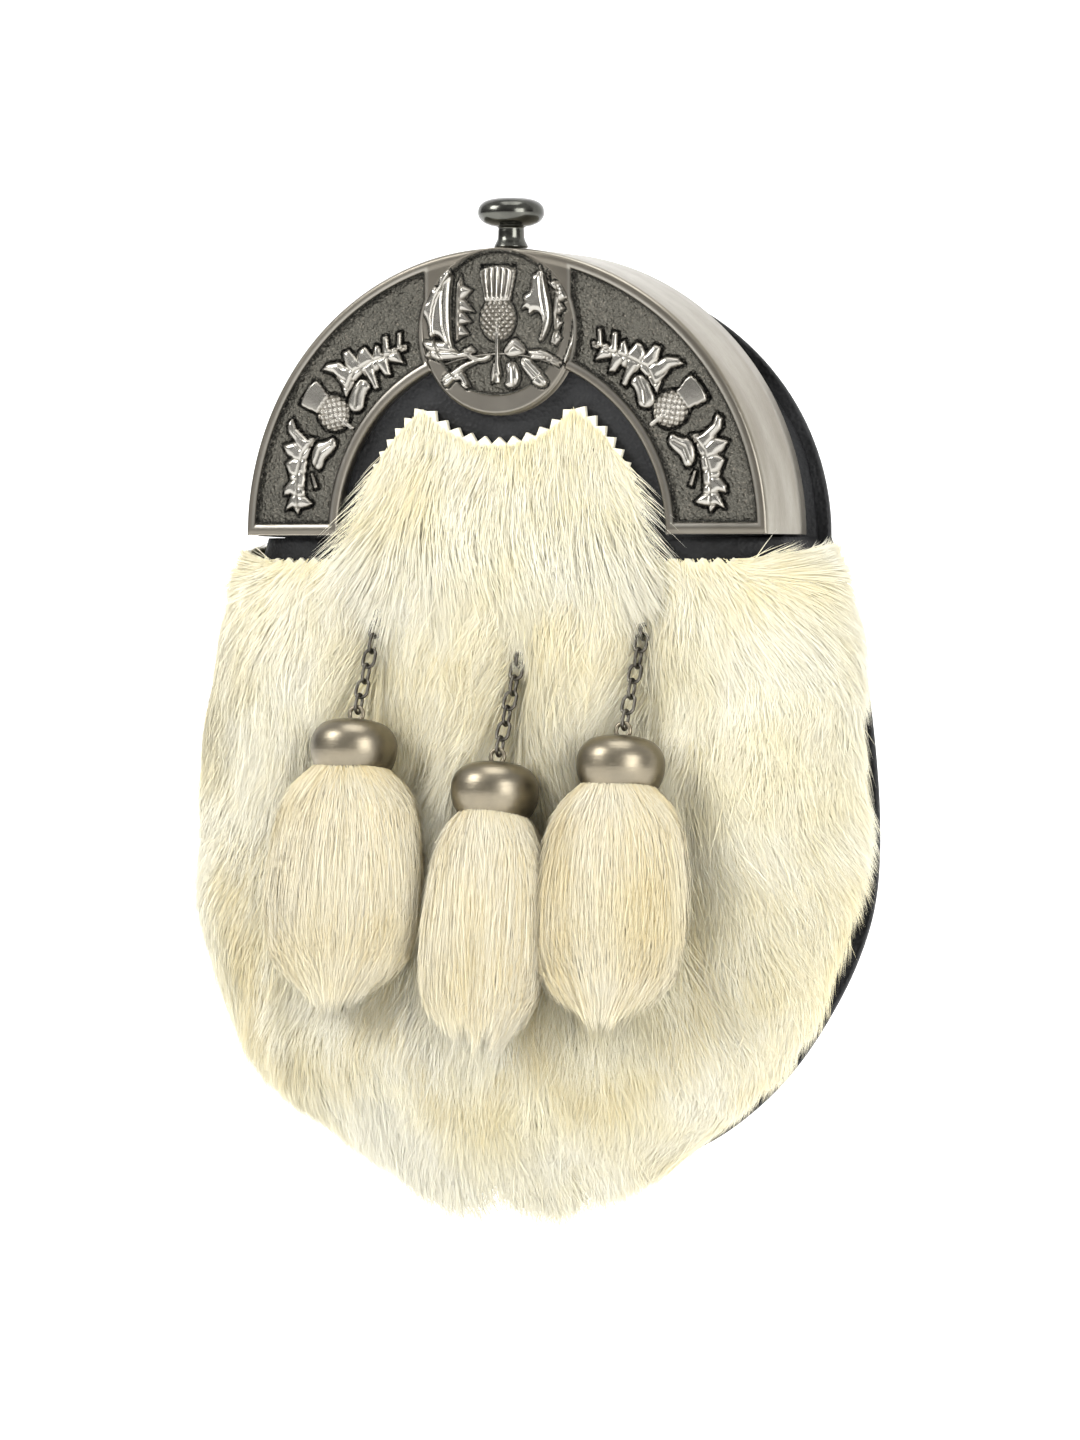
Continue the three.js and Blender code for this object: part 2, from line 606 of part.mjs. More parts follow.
// The flat leather back with the pouch's mouth cut through it.
function backPanel() {
  const mouth = slotOutline(MOUTH_WIDTH, MOUTH_HEIGHT, -MOUTH_DOWN);
  return geometryOf(solidOf(plate(backOutline(0), LEATHER, -LEATHER, [mouth])));
}

// The leather flap over the mouth, with a straight sewn top and a round lower edge.
function backFlap() {
  const top = -FLAP_TOP_DOWN;
  const curve = spread(0, Math.PI, 18).map((turn) => new THREE.Vector2(
    -Math.cos(turn) * FLAP_HALF_WIDTH,
    top - FLAP_HEIGHT * 0.3 - Math.sin(turn) ** 0.8 * FLAP_HEIGHT * 0.7,
  ));
  const points = [
    ...curve, new THREE.Vector2(FLAP_HALF_WIDTH, top), new THREE.Vector2(-FLAP_HALF_WIDTH, top),
  ];
  const hole = spread(0, 2 * Math.PI, 10).slice(0, -1).map((turn) => new THREE.Vector2(
    Math.cos(turn) * STUD_RADIUS * 0.5, studZ() + Math.sin(turn) * STUD_RADIUS * 0.5,
  ));
  return geometryOf(solidOf(plate(points, LEATHER, GAP, [hole])));
}

const studZ = () => -FLAP_TOP_DOWN - FLAP_HEIGHT + STUD_UP;

// The stud that closes the flap: a flat cap with a post through the flap's hole.
function flapStud() {
  const cap = solidOf(rodAlongY(
    STUD_RADIUS, LEATHER + 2 * GAP, LEATHER + 2 * GAP + STUD_PROUD, 0, studZ(), 16,
  ));
  const post = solidOf(rodAlongY(
    STUD_RADIUS * 0.5 - GAP, GAP, LEATHER + 2 * GAP + STUD_PROUD / 2, 0, studZ(), 10,
  ));
  return geometryOf(cap.add(post));
}

// A leather belt loop: a strip that stands off the back between two sewn feet.
function beltLoop() {
  const reach = LOOP_SLOT / 2 + LOOP_FOOT;
  const bend = LOOP_STANDOFF * 0.6;
  const inner = [
    [GAP, -reach], [GAP, -LOOP_SLOT / 2], [LOOP_STANDOFF, -LOOP_SLOT / 2 + bend],
    [LOOP_STANDOFF, LOOP_SLOT / 2 - bend], [GAP, LOOP_SLOT / 2], [GAP, reach],
  ];
  const outer = [
    [GAP + LEATHER, reach], [GAP + LEATHER, LOOP_SLOT / 2 + LEATHER],
    [LOOP_STANDOFF + LEATHER, LOOP_SLOT / 2 - bend + LEATHER / 2],
    [LOOP_STANDOFF + LEATHER, -LOOP_SLOT / 2 + bend - LEATHER / 2],
    [GAP + LEATHER, -LOOP_SLOT / 2 - LEATHER], [GAP + LEATHER, -reach],
  ];
  const shape = new THREE.Shape([...inner, ...outer].map(([y, z]) => new THREE.Vector2(y, z)));
  const geometry = new THREE.ExtrudeGeometry(shape, { depth: LOOP_WIDTH, bevelEnabled: false });
  const turned = new THREE.Matrix4().makeBasis(
    new THREE.Vector3(0, 1, 0), new THREE.Vector3(0, 0, 1), new THREE.Vector3(1, 0, 0),
  );
  return geometryOf(solidOf(geometry.applyMatrix4(turned).translate(-LOOP_WIDTH / 2, 0, 0)));
}

// A lock of fur: a ridge that swells from its root and ends in a point.
function lock(root, along, out, length, width, height) {
  const side = new THREE.Vector3().crossVectors(along, out).normalize();
  const at = (run, across, lift) => root.clone().addScaledVector(along, run * length)
    .addScaledVector(side, across * width).addScaledVector(out, lift * height - HIDE * 0.6);
  return solidOf(loft([
    [at(0, -0.3, 0), at(0, 0, 0.25), at(0, 0.3, 0)],
    [at(0.45, -0.5, 0.1), at(0.45, 0, 1), at(0.45, 0.5, 0.1)],
    [at(0.78, -0.36, 0.3), at(0.78, 0, 1.08), at(0.78, 0.36, 0.3)],
    [at(1, 0, 0.62)],
  ]));
}

// Where the tassel of a row hangs: the middle of its cup in X and Z.
const cupPlace = (row) => ({ x: row.across * ARCH_RADIUS, z: -row.drop * POUCH_DROP });

// How much of its height a lock keeps at a place: locks lie flat behind chains, cups and tassels.
function lockRoom(x, z) {
  for (const row of TASSELS) {
    const cup = cupPlace(row);
    const chainTop = cup.z + CUP_HEIGHT / 2 + LINKS * LINK_PITCH;
    const beside = Math.abs(x - cup.x);
    if (z < chainTop + LINK_LENGTH && z > cup.z && beside < LINK_WIDTH + LOCK_WIDTH * 0.5) return 0;
    const low = cup.z - TASSEL_LENGTH * row.length;
    if (z <= cup.z + CUP_HEIGHT && z > low && beside < TASSEL_HALF_WIDTH * row.width) return 0.3;
  }
  return 1;
}

// How far round the pouch the pelt reaches, as a turn: nearly to the back at the shoulder.
const furTurn = (share) => THREE.MathUtils.lerp(0.92, 0.76, Math.min(share * 2, 1));

// The pinked top edge of the pelt inside the arch: it keeps FUR_MARGIN from the arch and the
// medallion.
function tongueOutline() {
  const big = ARCH_INNER - FUR_MARGIN;
  const small = MEDALLION_RADIUS + FUR_MARGIN;
  const crossZ = (big ** 2 - small ** 2 + MEDALLION_Z ** 2) / (2 * MEDALLION_Z);
  const bigTurn = Math.asin(crossZ / big);
  const smallTurn = Math.asin((crossZ - MEDALLION_Z) / small);
  const walk = [];
  const arc = (radius, from, to, z, inward) => {
    const teeth = Math.max(2, 2 * Math.round(Math.abs(to - from) * radius / TOOTH_PITCH));
    spread(from, to, teeth).slice(0, -1).forEach((angle, i) => {
      const r = radius + (i % 2 === 1 ? inward * TOOTH_DEPTH : 0);
      walk.push(new THREE.Vector2(Math.cos(angle) * r, z + Math.sin(angle) * r));
    });
  };
  arc(big, -0.1, bigTurn, 0, -1);
  arc(small, smallTurn, -Math.PI - smallTurn, MEDALLION_Z, 1);
  arc(big, Math.PI - bigTurn, Math.PI + 0.1, 0, -1);
  const low = -FUR_MARGIN - HIDE * 1.5;
  walk.push(new THREE.Vector2(-big, low), new THREE.Vector2(big, low));
  return walk;
}

// The pouch's share at a place down the pelt, from 0 at its top edge to 1 at its lower edge.
const furShare = (place) => shareAt(-FUR_MARGIN - place * (FUR_DROP - FUR_MARGIN));

// A point on the outside of the pelt, which is ridged into locks that overlap like shingles.
function furPoint(r, c, share, turn) {
  const station = LOCK_STATIONS[r % LOCK_STATIONS.length];
  const row = Math.floor(r / LOCK_STATIONS.length);
  if (row >= LOCK_ROWS.length || Math.abs(turn) > furTurn(share) - 0.01) {
    return lifted(share, turn, HIDE + 2 * GAP);
  }
  const ridge = (row + c) % 2 === 0;
  const flat = lifted(share, turn, 0);
  const height = LOCK_HEIGHT * LOCK_ROWS[row].tall * station.lift * lockRoom(flat.x, flat.z);
  const slide = ridge ? station.slide : 0;
  const place = furShare((row + station.run + slide) / LOCK_ROWS.length);
  return lifted(place, turn, HIDE + 2 * GAP + height * (ridge ? 1 : station.groove));
}

// The fur pelt: a hide that covers the pouch's front and turns round its sides, with locks.
function furFront() {
  const rows = LOCK_ROWS.flatMap((row, i) => LOCK_STATIONS.map(
    (station) => furShare((i + station.run) / LOCK_ROWS.length),
  ));
  const pelt = sheetWith(
    [...rows, furShare(1)], (share) => [-furTurn(share), furTurn(share)], 2 * GAP,
    furPoint,
  );
  const tongue = solidOf(plate(tongueOutline(), HIDE, PANEL_FRONT_Y - GAP - HIDE));
  const solids = [pelt, tongue];
  for (const swing of spread(-1, 1, HEM_LOCKS - 1)) {
    const share = shareAt(-POUCH_DROP * THREE.MathUtils.lerp(0.97, HEM_RISE, Math.abs(swing) ** 1.4));
    const turn = swing * HEM_TURN;
    const root = lifted(share, turn, 2 * GAP + HIDE);
    const out = pouchNormal(share, turn);
    const down = new THREE.Vector3(out.x * 0.6, out.y * 0.15, -1).normalize();
    const across = out.clone().addScaledVector(down, -out.dot(down)).normalize();
    solids.push(lock(root, down, across, HEM_LOCK_LENGTH, LOCK_WIDTH, LOCK_HEIGHT));
  }
  const leather = sheet(ROW_SHARES, () => [-1, 1], -LEATHER, GAP);
  const seats = TASSELS.map((row) => {
    const { anchor } = chainLine(row);
    const back = anchor.y + EYE_SEAT + EYE_FLANGE + GAP;
    return solidOf(rodAlongY(EYE_FLANGE_RADIUS + 2 * GAP, back - 9, back, anchor.x, anchor.z, 8));
  });
  return geometryOf(filledUnion(solids).subtract(union([leather, ...seats])));
}

// A torus with its hole along Y or X, stretched along Z.
function wireRing(radius, wire, stretch, alongX) {
  const geometry = new THREE.TorusGeometry(radius, wire / 2, WIRE_SIDES, LINK_STEPS);
  const position = geometry.getAttribute('position');
  for (let i = 0; i < position.count; i += 1) {
    const y = position.getY(i);
    if (Math.abs(y) > wire * 0.01) position.setY(i, y + Math.sign(y) * stretch);
  }
  geometry.rotateX(Math.PI / 2);
  return alongX ? geometry.rotateZ(Math.PI / 2) : geometry;
}

// The middle of the eye on the pelt that a row's chain hangs from, and how far the chain leans out
// over the fur on its way down to the cup.
function chainLine(row) {
  const place = cupPlace(row);
  const cupShare = shareAt(place.z);
  const pelt = lifted(cupShare, turnAt(cupShare, place.x), GAP + HIDE);
  const low = new THREE.Vector3(
    place.x, pelt.y - CUP_RADIUS - CUP_CLEAR, place.z + CUP_HEIGHT / 2 + EYE_RADIUS,
  );
  const seat = GAP * 4 + HIDE + EYE_FLANGE + EYE_SEAT;
  let anchor = low.clone();
  for (let i = 0; i < 8; i += 1) {
    const rise = Math.sqrt(cupEyeDrop() ** 2 - (anchor.y - low.y) ** 2);
    const share = shareAt(low.z + rise);
    anchor = lifted(share, turnAt(share, place.x), seat);
  }
  return { anchor, lean: Math.atan2(anchor.y - low.y, anchor.z - low.z) };
}

// The share down the pouch's sections at a height.
function shareAt(z) {
  let [low, high] = [0, 1];
  for (let i = 0; i < 30; i += 1) {
    const middle = (low + high) / 2;
    if (pouchSection(middle).z > z) low = middle;
    else high = middle;
  }
  return low;
}

// The turn round the pouch at a place across its front.
function turnAt(share, x) {
  let [low, high] = [-0.7, 0.7];
  for (let i = 0; i < 30; i += 1) {
    const middle = (low + high) / 2;
    if (pouchPoint(share, middle).x < x) low = middle;
    else high = middle;
  }
  return low;
}

// The eye that holds a chain: a flange on the leather and a wire ring.
function chainEye() {
  const ring = solidOf(wireRing(EYE_RADIUS, EYE_WIRE, 0, true));
  const flange = solidOf(rodAlongY(
    EYE_FLANGE_RADIUS, EYE_SEAT, EYE_SEAT + EYE_FLANGE, 0, 0, 10,
  ));
  return geometryOf(ring.add(flange));
}

// A chain of interlocked links, fused where they touch, hanging down -Z from its eye's middle.
function chain() {
  const radius = (LINK_WIDTH - LINK_WIRE) / 2;
  const stretch = (LINK_LENGTH - LINK_WIDTH) / 2;
  const first = EYE_RADIUS + EYE_WIRE / 2 - EYE_WIRE - GAP - LINK_WIRE + LINK_LENGTH / 2;
  const links = Array.from({ length: LINKS }, (_, i) => solidOf(
    wireRing(radius, LINK_WIRE, stretch, i % 2 === 1).translate(0, 0, -first - i * LINK_PITCH),
  ));
  return geometryOf(union(links));
}

// How far below the chain's eye the cup's own eye hangs.
function cupEyeDrop() {
  const first = EYE_RADIUS + EYE_WIRE / 2 - EYE_WIRE - GAP - LINK_WIRE + LINK_LENGTH / 2;
  const lastLow = first + (LINKS - 1) * LINK_PITCH + LINK_LENGTH / 2 - LINK_WIRE;
  return lastLow - 1.6 * GAP - EYE_WIRE / 2 + EYE_RADIUS;
}

// The cup: a squashed bell with an eye on top. Its local origin is the eye's middle.
function cup() {
  const top = -EYE_RADIUS * 0.75;
  const at = (radius, down, inset = 0) => new THREE.Vector2(
    Math.max(radius * CUP_RADIUS - inset, 0), top - down * CUP_HEIGHT - inset * 0.9,
  );
  const mouth = CUP_MOUTH_RADIUS / CUP_RADIUS;
  const profile = [
    at(0, 0), at(0.5, 0.03), at(0.82, 0.16), at(0.98, 0.38), at(1, 0.56), at(0.92, 0.82), at(mouth, 1),
    new THREE.Vector2(CUP_MOUTH_RADIUS - CUP_WALL, top - CUP_HEIGHT),
    at(0.98, 0.56, CUP_WALL), at(0.78, 0.2, CUP_WALL), at(0, 0.03, CUP_WALL),
  ];
  const bell = solidOf(new THREE.LatheGeometry(profile, CUP_SIDES).rotateX(Math.PI / 2));
  return geometryOf(bell.add(solidOf(wireRing(EYE_RADIUS, EYE_WIRE, 0, LINKS % 2 === 1))));
}

// A fur tassel below a cup, in the cup's frame: a head in the cup's mouth, and a body ridged into
// locks that part at their tips.
function tassel(row) {
  const mouthZ = -EYE_RADIUS * 0.75 - CUP_HEIGHT;
  const length = TASSEL_LENGTH * row.length;
  const ring = (wide, thick, z, groove = 1, rise = 0) => spread(0, 2 * Math.PI, 2 * TASSEL_LOCKS)
    .slice(0, -1).map((turn, k) => {
      const reach = k % 2 === 0 ? 1 : groove;
      return new THREE.Vector3(
        Math.cos(turn) * wide * reach,
        Math.sin(turn) * thick * reach,
        z + (k % 2 === 0 ? 0 : rise * length),
      );
    });
  const neck = CUP_MOUTH_RADIUS - CUP_WALL - GAP * 1.5;
  return geometryOf(solidOf(loft([
    ring(neck * 0.7, neck * 0.7, mouthZ + CUP_HEIGHT * 0.5), ring(neck, neck, mouthZ + CUP_HEIGHT * 0.2),
    ring(neck, neck, mouthZ - GAP * 2),
    ...TASSEL_SECTIONS.map((s) => ring(
      s.wide * TASSEL_HALF_WIDTH * row.width, s.thick * TASSEL_HALF_THICKNESS,
      mouthZ - s.down * length, s.groove, s.rise,
    )),
    [new THREE.Vector3(0, 0, mouthZ - length * TASSEL_CORE)],
  ])));
}

const MATERIALS = {
  pewter: new THREE.MeshStandardMaterial({ color: 0x8f8a80, roughness: 0.38, metalness: 1 }),
  leather: new THREE.MeshStandardMaterial({ color: 0x17181b, roughness: 0.55, metalness: 0 }),
  fur: new THREE.MeshStandardMaterial({ color: 0xf3ecd2, roughness: 0.95, metalness: 0 }),
  chainSteel: new THREE.MeshStandardMaterial({ color: 0x55544f, roughness: 0.35, metalness: 1 }),
};

function node(name, geometry, material) {
  const mesh = new THREE.Mesh(geometry, material);
  mesh.name = name;
  return mesh;
}

const sporran = new THREE.Group();
sporran.position.z = -LOOP_HEIGHT;

sporran.add(node('cantle', cantle(), MATERIALS.pewter));
sporran.add(node('cantle_knob', knob(), MATERIALS.pewter));
sporran.add(node('front_panel', frontPanel(), MATERIALS.leather));
sporran.add(node('gusset', gusset(), MATERIALS.leather));
sporran.add(node('back_panel', backPanel(), MATERIALS.leather));
sporran.add(node('back_flap', backFlap(), MATERIALS.leather));
sporran.add(node('flap_stud', flapStud(), MATERIALS.pewter));
for (const [name, side] of [['belt_loop_left', -1], ['belt_loop_right', 1]]) {
  const loop = node(name, beltLoop(), MATERIALS.leather);
  loop.position.set((side * LOOP_SPACING) / 2, 0, LOOP_HEIGHT);
  sporran.add(loop);
}
sporran.add(node('fur_front', furFront(), MATERIALS.fur));

for (const row of TASSELS) {
  const { anchor, lean } = chainLine(row);
  const hanging = new THREE.Group();
  hanging.position.copy(anchor);
  sporran.add(hanging);
  hanging.add(node(`chain_eye_${row.side}`, chainEye(), MATERIALS.chainSteel));
  const swung = new THREE.Group();
  swung.rotation.x = -lean;
  hanging.add(swung);
  swung.add(node(`chain_${row.side}`, chain(), MATERIALS.chainSteel));
  const pendant = new THREE.Group();
  pendant.position.z = -cupEyeDrop();
  pendant.rotation.x = lean - THREE.MathUtils.degToRad(TASSEL_TILT);
  swung.add(pendant);
  pendant.add(node(`cup_${row.side}`, cup(), MATERIALS.pewter));
  pendant.add(node(`tassel_${row.side}`, tassel(row), MATERIALS.fur));
}

export default sporran;
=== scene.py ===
"""A full-dress sporran, dressed for its portrait.

The solids come from the frame. This script gives the hard parts finer castings and finishes, and
turns the fur pelt and the tassels into coats of hair. Sizes are in millimetres, measured as in the
solids: x to the right, y back from the front, z up from the foot of the cantle.
"""

import logging
import math
from dataclasses import dataclass
from enum import Enum
from typing import Callable, Optional, Sequence

import bpy
import numpy as np
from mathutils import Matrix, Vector


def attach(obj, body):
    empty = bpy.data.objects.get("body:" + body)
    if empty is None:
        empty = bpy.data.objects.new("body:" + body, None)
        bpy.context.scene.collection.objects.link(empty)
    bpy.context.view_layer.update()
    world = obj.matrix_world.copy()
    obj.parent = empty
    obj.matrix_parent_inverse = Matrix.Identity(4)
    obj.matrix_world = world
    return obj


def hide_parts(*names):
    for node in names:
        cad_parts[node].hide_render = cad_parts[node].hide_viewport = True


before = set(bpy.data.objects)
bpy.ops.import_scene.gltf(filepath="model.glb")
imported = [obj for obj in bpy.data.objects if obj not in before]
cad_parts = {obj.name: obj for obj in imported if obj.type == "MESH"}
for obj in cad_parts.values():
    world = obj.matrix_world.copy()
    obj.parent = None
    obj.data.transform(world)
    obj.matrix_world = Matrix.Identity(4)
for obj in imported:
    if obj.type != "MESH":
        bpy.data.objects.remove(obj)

LOG = logging.getLogger("sporran")
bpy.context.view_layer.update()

MM = 0.001
FOOT_TO_LOOPS = 18.0
BODY = "root"
CHASED = 0.3
ARCH_RADIUS = 73.5
BOW = 3.0
TABLE_ROWS = 1400

Array = np.ndarray
Material = bpy.types.Material
Piece = bpy.types.Object
Socket = bpy.types.NodeSocket
Pair = tuple[float, float]
Triple = tuple[float, float, float]
WHITE: Triple = (1.0, 1.0, 1.0)


class Side(Enum):
    """The three tassels, seen from the front."""

    LEFT = "left"
    MIDDLE = "middle"
    RIGHT = "right"


class Slot(Enum):
    """The record's material slots."""

    PEWTER = "pewter"
    CHAIN = "chain_steel"
    LEATHER = "leather"
    FUR = "fur"


# shared helpers

def to_row(points: Array) -> Array:
    """Moves points from foot-based millimetres into the row frame.

    Args:
        points: points in millimetres, z from the cantle's foot.

    Returns:
        The same points in metres.
    """
    moved = np.asarray(points, np.float64).copy()
    moved[..., 2] -= FOOT_TO_LOOPS
    return moved * MM


def unit(vectors: Array) -> Array:
    """Vectors scaled to length 1 along the last axis."""
    return vectors / np.maximum(np.linalg.norm(vectors, axis=-1, keepdims=True), 1e-9)


def smooth(low: float, high: float, value: Array) -> Array:
    """A soft step from 0 at low to 1 at high."""
    t = np.clip((np.asarray(value, float) - low) / (high - low), 0.0, 1.0)
    return t * t * (3.0 - 2.0 * t)


def turns(count: int) -> Array:
    """Evenly spread angles of one full turn, in radians."""
    return np.linspace(0.0, 2 * math.pi, count, endpoint=False)


def joined(x: object, y: object, z: object) -> Array:
    """Points whose coordinates are numbers or arrays, spread to one shape."""
    return np.stack(np.broadcast_arrays(x, y, z), -1)


def set_back(x: Array) -> Array:
    """How far the bowed front stands back at places across."""
    return BOW * (x / ARCH_RADIUS) ** 2


def show(name: str, data: bpy.types.ID) -> Piece:
    """Adds an object to the scene."""
    made = bpy.data.objects.new(name, data)
    bpy.context.scene.collection.objects.link(made)
    return made


def read_points(mesh: bpy.types.Mesh) -> Array:
    """The points of a mesh, one in each row."""
    flat = np.zeros(len(mesh.vertices) * 3, np.float32)
    mesh.vertices.foreach_get("co", flat)
    return flat.reshape(-1, 3)


def enrol(name: str, mesh: bpy.types.Mesh, stands_for: Sequence[str]) -> Piece:
    """Shows a mesh as a piece that rides on the sporran.

    Args:
        name: the piece's name.
        mesh: its finished mesh.
        stands_for: the solids that it replaces.

    Returns:
        The new piece.
    """
    piece = show(name, mesh)
    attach(piece, BODY)
    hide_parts(*stands_for)
    LOG.info("%s: %d faces", name, len(mesh.polygons))
    return piece


@dataclass(frozen=True)
class SoftNoise:
    """Smooth noise between -1 and 1 that is the same on each run.

    Attributes:
        seed: picks one field of noise.
        size: how far apart its hills are, in millimetres.
    """

    seed: int
    size: float

    def at(self, points: Array) -> Array:
        """The noise at points.

        Args:
            points: an array of points, with any number of axes.

        Returns:
            One value for each point.
        """
        spots = np.asarray(points, float) / self.size
        base = np.floor(spots).astype(np.int64)
        part = spots - base
        part = part * part * (3.0 - 2.0 * part)
        axes = spots.shape[-1]
        total = np.zeros(spots.shape[:-1])
        for corner in range(2 ** axes):
            bits = [(corner >> axis) & 1 for axis in range(axes)]
            weight = np.ones(spots.shape[:-1])
            code = np.full(spots.shape[:-1], self.seed * 83492791, np.int64)
            for axis, bit in enumerate(bits):
                weight = weight * (part[..., axis] if bit else 1.0 - part[..., axis])
                code = code ^ ((base[..., axis] + bit) * (73856093, 19349663, 49979687)[axis])
            code = (code ^ (code >> 13)) * 1274126177
            total += weight * (((code ^ (code >> 16)) & 0xFFFF) / 32767.5 - 1.0)
        return total


def grid_faces(rows: int, columns: int, wrap: bool = False, start: int = 0) -> Array:
    """Four-sided faces of a grid of points laid out row by row.

    Args:
        rows: how many rows of points.
        columns: how many points in a row.
        wrap: whether each row closes on itself.
        start: the first point's number.

    Returns:
        An array of faces, four point numbers each.
    """
    r, c = np.meshgrid(np.arange(rows - 1), np.arange(columns if wrap else columns - 1), indexing="ij")
    r, c = r.ravel(), c.ravel()
    ahead = (c + 1) % columns
    return start + np.stack(
        [r * columns + c, r * columns + ahead, (r + 1) * columns + ahead, (r + 1) * columns + c], 1
    )


def sheet_faces(rows: int, columns: int, flipped: bool) -> list[Array]:
    """The faces of a sheet with a grid of outer points and a grid of inner ones.

    Args:
        rows: how many rows of points each grid has.
        columns: how many points a row has.
        flipped: whether the outer grid's faces look the other way.

    Returns:
        The faces of both sides and of the edge.
    """
    count = rows * columns
    index = np.arange(count).reshape(rows, columns)
    edge = np.concatenate([index[0], index[1:, -1], index[-1, -2::-1], index[-2:0:-1, 0]])
    ahead = np.roll(edge, -1)
    outer, inner = grid_faces(rows, columns), grid_faces(rows, columns, start=count)
    sides = [outer[:, ::-1], inner] if flipped else [outer, inner[:, ::-1]]
    return [*sides, np.stack([edge, ahead, ahead + count, edge + count], 1)]


def folded_ends(rows: int, columns: int) -> list[Array]:
    """The faces that close both ends of a flattened tube, each folded about its middle."""
    k = np.arange(columns // 2 - 1)
    return [
        np.stack([base + k, base + k + 1, base + columns - 2 - k, base + columns - 1 - k], 1)[:, ::way]
        for base, way in ((0, 1), ((rows - 1) * columns, -1))
    ]


def make_piece(
    name: str, points: Array, faces: Sequence[Array], material: Material,
    stands_for: Sequence[str], values: Optional[dict[str, Array]] = None, chart: Optional[Array] = None,
) -> Piece:
    """Makes a smooth-shaded piece from points and faces.

    Args:
        name: the piece's name.
        points: its points in foot-based millimetres.
        faces: arrays of faces, each with one number of corners.
        material: its finish.
        stands_for: the solids that it replaces.
        values: numbers for each point that the finish reads, by name.
        chart: a place on the unit square for each point, kept as the piece's map.

    Returns:
        The new object.
    """
    mesh = bpy.data.meshes.new(name)
    corners = np.concatenate([f.ravel() for f in faces]).astype(np.int32)
    sizes = np.concatenate([np.full(len(f), f.shape[1]) for f in faces]).astype(np.int32)
    mesh.vertices.add(len(points))
    mesh.vertices.foreach_set("co", to_row(points).astype(np.float32).ravel())
    mesh.loops.add(len(corners))
    mesh.loops.foreach_set("vertex_index", corners)
    mesh.polygons.add(len(sizes))
    mesh.polygons.foreach_set("loop_start", np.concatenate([[0], np.cumsum(sizes)[:-1]]).astype(np.int32))
    mesh.polygons.foreach_set("use_smooth", np.ones(len(sizes), bool))
    mesh.update(calc_edges=True)
    for key, numbers in (values or {}).items():
        numbers = np.asarray(numbers, np.float32)
        vector = numbers.ndim == 2 and numbers.shape == (len(points), 3)
        layer = mesh.attributes.new(key, "FLOAT_VECTOR" if vector else "FLOAT", "POINT")
        layer.data.foreach_set("vector" if vector else "value", numbers.ravel())
    if chart is not None:
        layer = mesh.uv_layers.new(name="OFBake")
        layer.data.foreach_set("uv", chart[corners].astype(np.float32).ravel())
    mesh.materials.append(material)
    return enrol(name, mesh, stands_for)


# finishes

